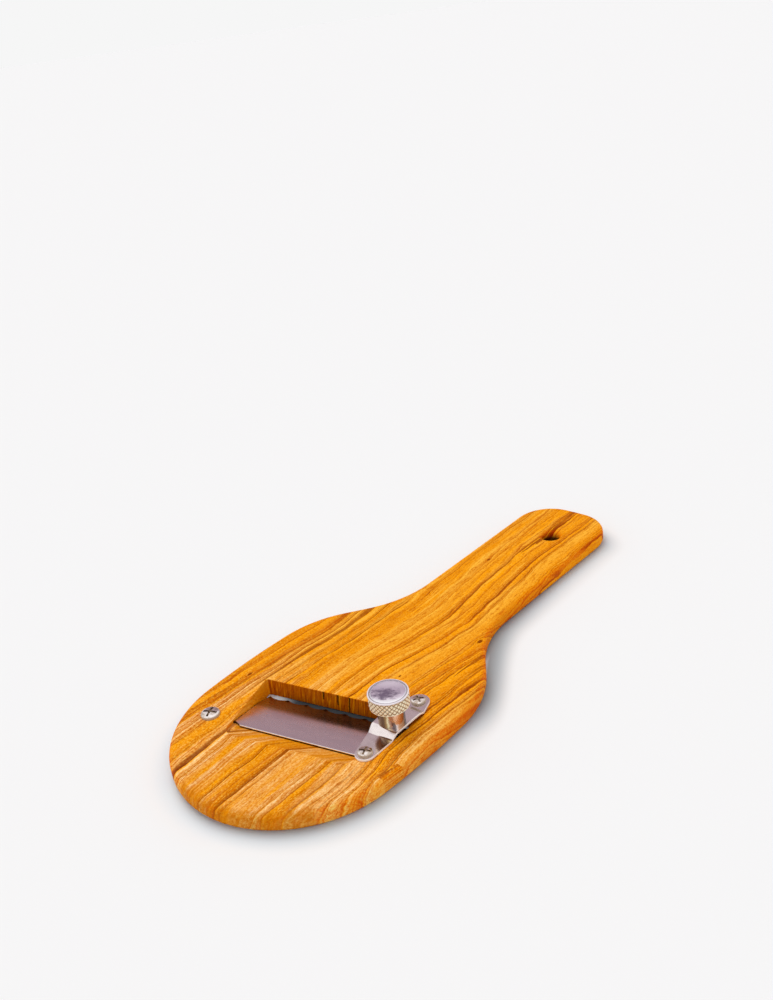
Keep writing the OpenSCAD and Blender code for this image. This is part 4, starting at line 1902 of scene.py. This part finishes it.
@dataclass
class WoodScrews:
    """Domed wood screws with a cross recess."""

    bridge_at: Sequence[Point] = ((33.7, -71.3), (31.0, -38.9))
    blade_at: Point = (-32.4, -87.0)
    board_t: float = 7.6
    sheet: float = 0.9
    shank_r: float = 1.4
    shank_len: float = 5.8
    point: Point = (0.25, 1.2)
    rim: float = 0.28
    bulge: float = 0.9
    flatness: float = 0.6
    chamfer: float = 0.08
    slot_length: float = 1.5
    slot_width: Point = (0.32, 0.16)
    slot_height: float = 0.88
    slot_floor: float = 0.38
    recess: float = 0.78
    small: Point = (2.8, 1.2)
    large: Point = (3.75, 1.6)
    turns: Point = (22.0, 58.0, 25.0)
    sides: int = 48
    dome_step: int = 10
    wall_low: float = 0.2
    wall_lean: float = 0.3
    floor_near: float = 0.01

    def screw(self, at: Point, seat: float, head: Point, turn: float, shank: float) -> Mould:
        """Build one screw.

        Args:
            at: Where it stands.
            seat: The height of the face under its head.
            head: The radius and height of its head.
            turn: How far its recess is turned, in degrees.
            shank: The length under its head.

        Returns:
            The screw.
        """
        radius, height = head
        tip, cone = self.point
        dome = [(radius * math.sin(a) ** self.bulge,
                 self.rim + (height - self.rim) * abs(math.cos(a)) ** self.flatness)
                for a in (math.radians(angle) for angle in range(0, 91, self.dome_step))]
        body = turned([(0.0, -shank), (tip, -shank), (self.shank_r, cone - shank), (self.shank_r, 0.0),
                       (radius - self.chamfer, 0.0), (radius, self.chamfer), *reversed(dome)],
                      (0, 0), self.sides)
        width = self.slot_width[0] + radius * self.slot_width[1]
        for extra in (0, 90):
            slot = Mould()
            bmesh.ops.create_cube(slot.bm, size=1.0)
            slot.place(Matrix.Diagonal((radius * self.slot_length, width, height, 1)))
            slot.move((0, 0, height * self.slot_height))
            slot.place(Matrix.Rotation(math.radians(turn + extra), 4, "Z"))
            body.carve(slot)
        # Faces inside the cross recess take the second material, painted darker as shade
        for face in body.bm.faces:
            middle = face.calc_center_median()
            inside = middle.xy.length < radius * self.recess
            wall = middle.z > self.wall_low and abs(face.normal.z) < self.wall_lean
            floor = abs(middle.z - height * self.slot_floor) < self.floor_near
            face.material_index = int(inside and (wall or floor))
        body.move((at[0], at[1], seat))
        return body

    def bridge_pair(self) -> Mould:
        """Build the two screws that hold the strip.

        Returns:
            The two screws.
        """
        seat, shank = self.board_t + self.sheet, self.shank_len + self.sheet
        near, far, _ = self.turns
        pair = self.screw(self.bridge_at[0], seat, self.small, near, shank)
        pair.join(self.screw(self.bridge_at[1], seat, self.small, far, shank))
        return pair

    def clamp(self) -> Mould:
        """Build the screw that closes the kerf on the blade's tongue."""
        return self.screw(self.blade_at, self.board_t, self.large, self.turns[2], self.shank_len)


# Camera, floor and light

@dataclass(frozen=True)
class Viewpoint:
    """The photograph's viewpoint, in degrees, millimetres and pixels."""

    azimuth: float = 44.81
    elevation: float = 25.60
    roll: float = -7.88
    depth: float = 344.52
    focal: float = 1008.53
    size: Point = (773.0, 1000.0)
    near_end: Point = (200.94, 816.29)
    board_end: Point = (0.0, -120.0, 0.0)
    sensor: float = 36.0
    clip: Point = (0.01, 100.0)

    def make(self) -> None:
        """Set up the camera."""
        a, e, r = (math.radians(v) for v in (self.azimuth, self.elevation, self.roll))
        back = Vector((math.sin(a) * math.cos(e), -math.cos(a) * math.cos(e), math.sin(e)))
        level = (-back).cross(UP).normalized()
        above = level.cross(-back)
        right = math.cos(r) * level + math.sin(r) * above
        down = math.sin(r) * level - math.cos(r) * above
        scale = self.depth / self.focal
        offset = [(p - s / 2) * scale for p, s in zip(self.near_end, self.size)]
        place = Vector(self.board_end) - (right * offset[0] + down * offset[1] - back * self.depth)
        data = bpy.data.cameras.new("camera")
        data.sensor_width = self.sensor
        data.lens = data.sensor_width * self.focal / max(self.size)
        data.clip_start, data.clip_end = self.clip
        camera = bpy.data.objects.new("camera", data)
        bpy.context.scene.collection.objects.link(camera)
        camera.matrix_world = Matrix((
            (right.x, -down.x, back.x, place.x * MM), (right.y, -down.y, back.y, place.y * MM),
            (right.z, -down.z, back.z, place.z * MM), (0, 0, 0, 1)))
        bpy.context.scene.camera = camera


@dataclass(frozen=True)
class Studio:
    """A pale floor with a soft shadow, a broad key light and a light tent with one dark card."""

    bed: BladeBed
    floor: Point = (0.87, 0.87, 0.87)
    # Painted cool tint of the paper near the board, against the warm light that the wood bounces
    cool_against_bounce: Point = (0.73, 0.83, 0.90)
    # Painted shade of the paper where it shows through the mouth's slot
    slot: Point = (0.060, 0.072, 0.082)
    sun: float = 1.0
    softness: float = 40.0
    sun_from: Point = (-0.34, 0.10, 0.90)
    shade: float = 0.92
    throw: Point = (6.4, 0.4)
    blur: float = 6.0
    shadow: Point = (0.30, 0.33, 0.345)
    sky: Point = (0.62, 0.625, 0.64)
    zenith: Point = (0.98, 0.98, 0.99)
    backdrop: Point = (0.922, 0.922, 0.922)
    card: Point = (0.40, 0.31, 0.35)
    card_at: Point = (-0.64, 0.72, 0.27)
    card_edge: Point = (0.84, 0.93)
    key_colour: Point = (1.0, 0.985, 0.96)
    floor_size: float = 200.0
    floor_rough: float = 0.9
    floor_drop: float = 0.00006
    slot_shade_reach: Band = Band((27.0, 30.0), (37.0, 35.0))
    slot_shade_across: Band = Band((-20.0, -9.0), (34.0, 31.0))
    cool: Mask = Mask(9.0, -1.0)
    beside: Mask = Mask(-2.5, -0.5)
    handle: Mask = Mask(0.0, 10.0)
    depth: float = 0.85
    handle_fade: Mask = Mask(10.0, 75.0, 0.50)
    right_fade: Mask = Mask(-8.0, 22.0, 0.46)
    near_fade: Mask = Mask(-14.0, -40.0)
    body_end: float = 72.6
    handle_end: float = 102.7
    end_stretch: float = 1.26
    half_width: float = 48.0
    narrowing: Mask = Mask(-33.0, 31.0, 26.2)

    def make(self) -> None:
        """Set up the floor, the sun and the sky."""
        floor = Mould()
        bmesh.ops.create_grid(floor.bm, x_segments=1, y_segments=1, size=self.floor_size)
        floor.move((0, 0, -self.floor_drop))
        plane = floor.as_object("floor")
        plane.data.materials.append(self.paper())
        light = bpy.data.lights.new("key", "SUN")
        light.energy, light.angle = self.sun, math.radians(self.softness)
        light.color = self.key_colour
        key = bpy.data.objects.new("key", light)
        bpy.context.scene.collection.objects.link(key)
        key.visible_glossy = False
        key.rotation_euler = Vector(self.sun_from).to_track_quat("Z", "Y").to_euler()
        self.sky_light()

    def paper(self) -> bpy.types.Material:
        """Build the floor's paper: painted cooler by the board against the wood's warm bounce light, with
        a painted shadow to its right and painted shade where it shows through the mouth's slot.

        Returns:
            The paper.
        """
        p = Patch("floor")
        x, y, _ = p.places()
        u, s = self.bed.axes(x, y)
        # Painted shade under the mouth's slot
        shade = self.slot_shade_reach.over(s) * self.slot_shade_across.over(u)
        away = self.outside(x, y)
        # Painted: the paper turns cooler near the board, cancelling the wood's warm bounce light
        tone = p.mix(self.cool.over(away), self.floor, self.cool_against_bounce)
        dark = self.outside(x - self.throw[0], y - self.throw[1]).step(self.blur, -self.blur)
        clear = self.beside.over(away)
        clear = clear.maths("MAXIMUM", clear, self.handle.over(y))
        depth = (self.depth - self.handle_fade.over(y)
                 - self.right_fade.over(x) * self.near_fade.over(y))
        tone = p.mix(dark * clear * depth, tone, self.shadow)
        return p.finish(Base_Color=p.mix(shade, tone, self.slot), Roughness=self.floor_rough,
                        Specular_IOR_Level=0.0)

    def outside(self, x: Value, y: Value) -> Value:
        """Measure how far a point is from the board's outline, roughly.

        Args:
            x: Its place across the board.
            y: Its place along the board.

        Returns:
            The distance, less than 0 inside the outline.
        """
        low = y.maths("MINIMUM", y + self.body_end, 0.0)
        high = y.maths("MAXIMUM", y - self.handle_end, 0.0) * self.end_stretch
        half = self.half_width - self.narrowing.over(y)
        return (x * x + low * low + high * high) ** 0.5 - half

    def sky_light(self) -> None:
        """Light the scene from an even tent, with the plain backdrop behind for the camera."""
        world = bpy.data.worlds.new("studio")
        world.use_nodes = True
        bpy.context.scene.world = world
        tree = world.node_tree
        tree.nodes.clear()
        new, link = tree.nodes.new, tree.links.new
        place, near, edge = (new("ShaderNodeTexCoord"), new("ShaderNodeVectorMath"),
                             new("ShaderNodeMapRange"))
        near.operation = "DOT_PRODUCT"
        link(place.outputs["Generated"], near.inputs[0])
        near.inputs[1].default_value = Vector(self.card_at).normalized()
        link(near.outputs["Value"], edge.inputs["Value"])
        edge.interpolation_type = "SMOOTHSTEP"
        edge.inputs["From Min"].default_value, edge.inputs["From Max"].default_value = self.card_edge
        height, tent = new("ShaderNodeSeparateXYZ"), new("ShaderNodeMix")
        link(place.outputs["Generated"], height.inputs[0])
        tent.data_type = "RGBA"
        link(height.outputs["Z"], tent.inputs[0])
        tent.inputs[6].default_value, tent.inputs[7].default_value = (*self.sky, 1), (*self.zenith, 1)
        tint = new("ShaderNodeMix")
        tint.data_type = "RGBA"
        link(edge.outputs[0], tint.inputs[0])
        link(tent.outputs[2], tint.inputs[6])
        tint.inputs[7].default_value = (*self.card, 1)
        dome, back = new("ShaderNodeBackground"), new("ShaderNodeBackground")
        both = new("ShaderNodeMixShader")
        link(tint.outputs[2], dome.inputs[0])
        back.inputs[0].default_value = (*self.backdrop, 1)
        rays, out = new("ShaderNodeLightPath"), new("ShaderNodeOutputWorld")
        dim = new("ShaderNodeMapRange")
        dim.inputs["To Min"].default_value, dim.inputs["To Max"].default_value = 1.0, self.shade
        link(rays.outputs["Is Diffuse Ray"], dim.inputs["Value"])
        link(dim.outputs[0], dome.inputs["Strength"])
        link(rays.outputs["Is Camera Ray"], both.inputs[0])
        link(dome.outputs[0], both.inputs[1])
        link(back.outputs[0], both.inputs[2])
        link(both.outputs[0], out.inputs[0])


def main() -> None:
    """Build the scene: the camera and light first, then each sub-assembly in turn."""
    logging.basicConfig(level=logging.INFO, format="%(message)s")
    view = bpy.context.scene.view_settings
    view.view_transform, view.look = "Standard", "None"
    Viewpoint().make()
    bed = BladeBed()
    Studio(bed).make()
    wood = OliveWood(bed).make()
    blade_steel = BladeSteel(bed).make()
    # The strip's upright edges are painted a pale highlight
    sheet_steel = Metal("sheet_steel", colour=(0.96, 0.86, 0.83), stain=(0.82, 0.72, 0.71),
                        rough=0.15, spread=0.05, depth=0.0008, edge=(1.0, 0.98, 0.95)).make()
    bright_plate = BushPlate().make()
    # The screw heads' lower sides are painted a darker brown shade
    screw_plate = Metal("screw_plate", colour=(1.0, 0.91, 0.87), stain=(0.52, 0.40, 0.31),
                        rough=0.16, spread=0.06, depth=0.001, edge=(0.50, 0.40, 0.30),
                        cloud=Pattern((0.6, 0.6, 0.6), detail=3.0, rough=0.55)).make()
    # The recess is painted darker, as shade
    recess = Metal("screw_recess_shade", colour=(0.66, 0.55, 0.44), stain=(0.20, 0.14, 0.10),
                   rough=0.30, spread=0.08, depth=0.002,
                   cloud=Pattern((0.9, 0.9, 0.9), detail=3.0, rough=0.55)).make()
    stud_steel = Metal("stud_steel", colour=(0.62, 0.58, 0.55), stain=(0.50, 0.46, 0.42),
                       rough=0.22, spread=0.08, depth=0.001).make()
    knob_plate = KnobPlate().make()
    Piece("olive_board", "frame", "board", "olive_wood").build(Board(bed).shape(), wood)
    Piece("wavy_blade", "blade", "blade", "blade_steel", 25).build(Blade(bed).shape(), blade_steel)
    Piece("bent_bridge", "frame", "bridge", "sheet_steel").build(Bridge().shape(), sheet_steel)
    thumb = Thumbscrew()
    Piece("riveted_bush", "frame", "tapped_bush", "polished_steel").build(thumb.bush(), bright_plate)
    Piece("screw_stud", "stud", "threaded_stud", "stud_steel").build(thumb.stud(), stud_steel)
    Piece("knurled_knob", "thumb_head", "knurled_head", "plated_brass", 14).build(thumb.head(), knob_plate)
    screws = WoodScrews()
    Piece("strap_screws", "frame", "bridge_screws", "screw_steel").build(
        screws.bridge_pair(), screw_plate, recess)
    Piece("clamp_screw", "frame", "blade_screw", "screw_steel").build(
        screws.clamp(), screw_plate, recess)


if __name__ == "__main__":
    main()
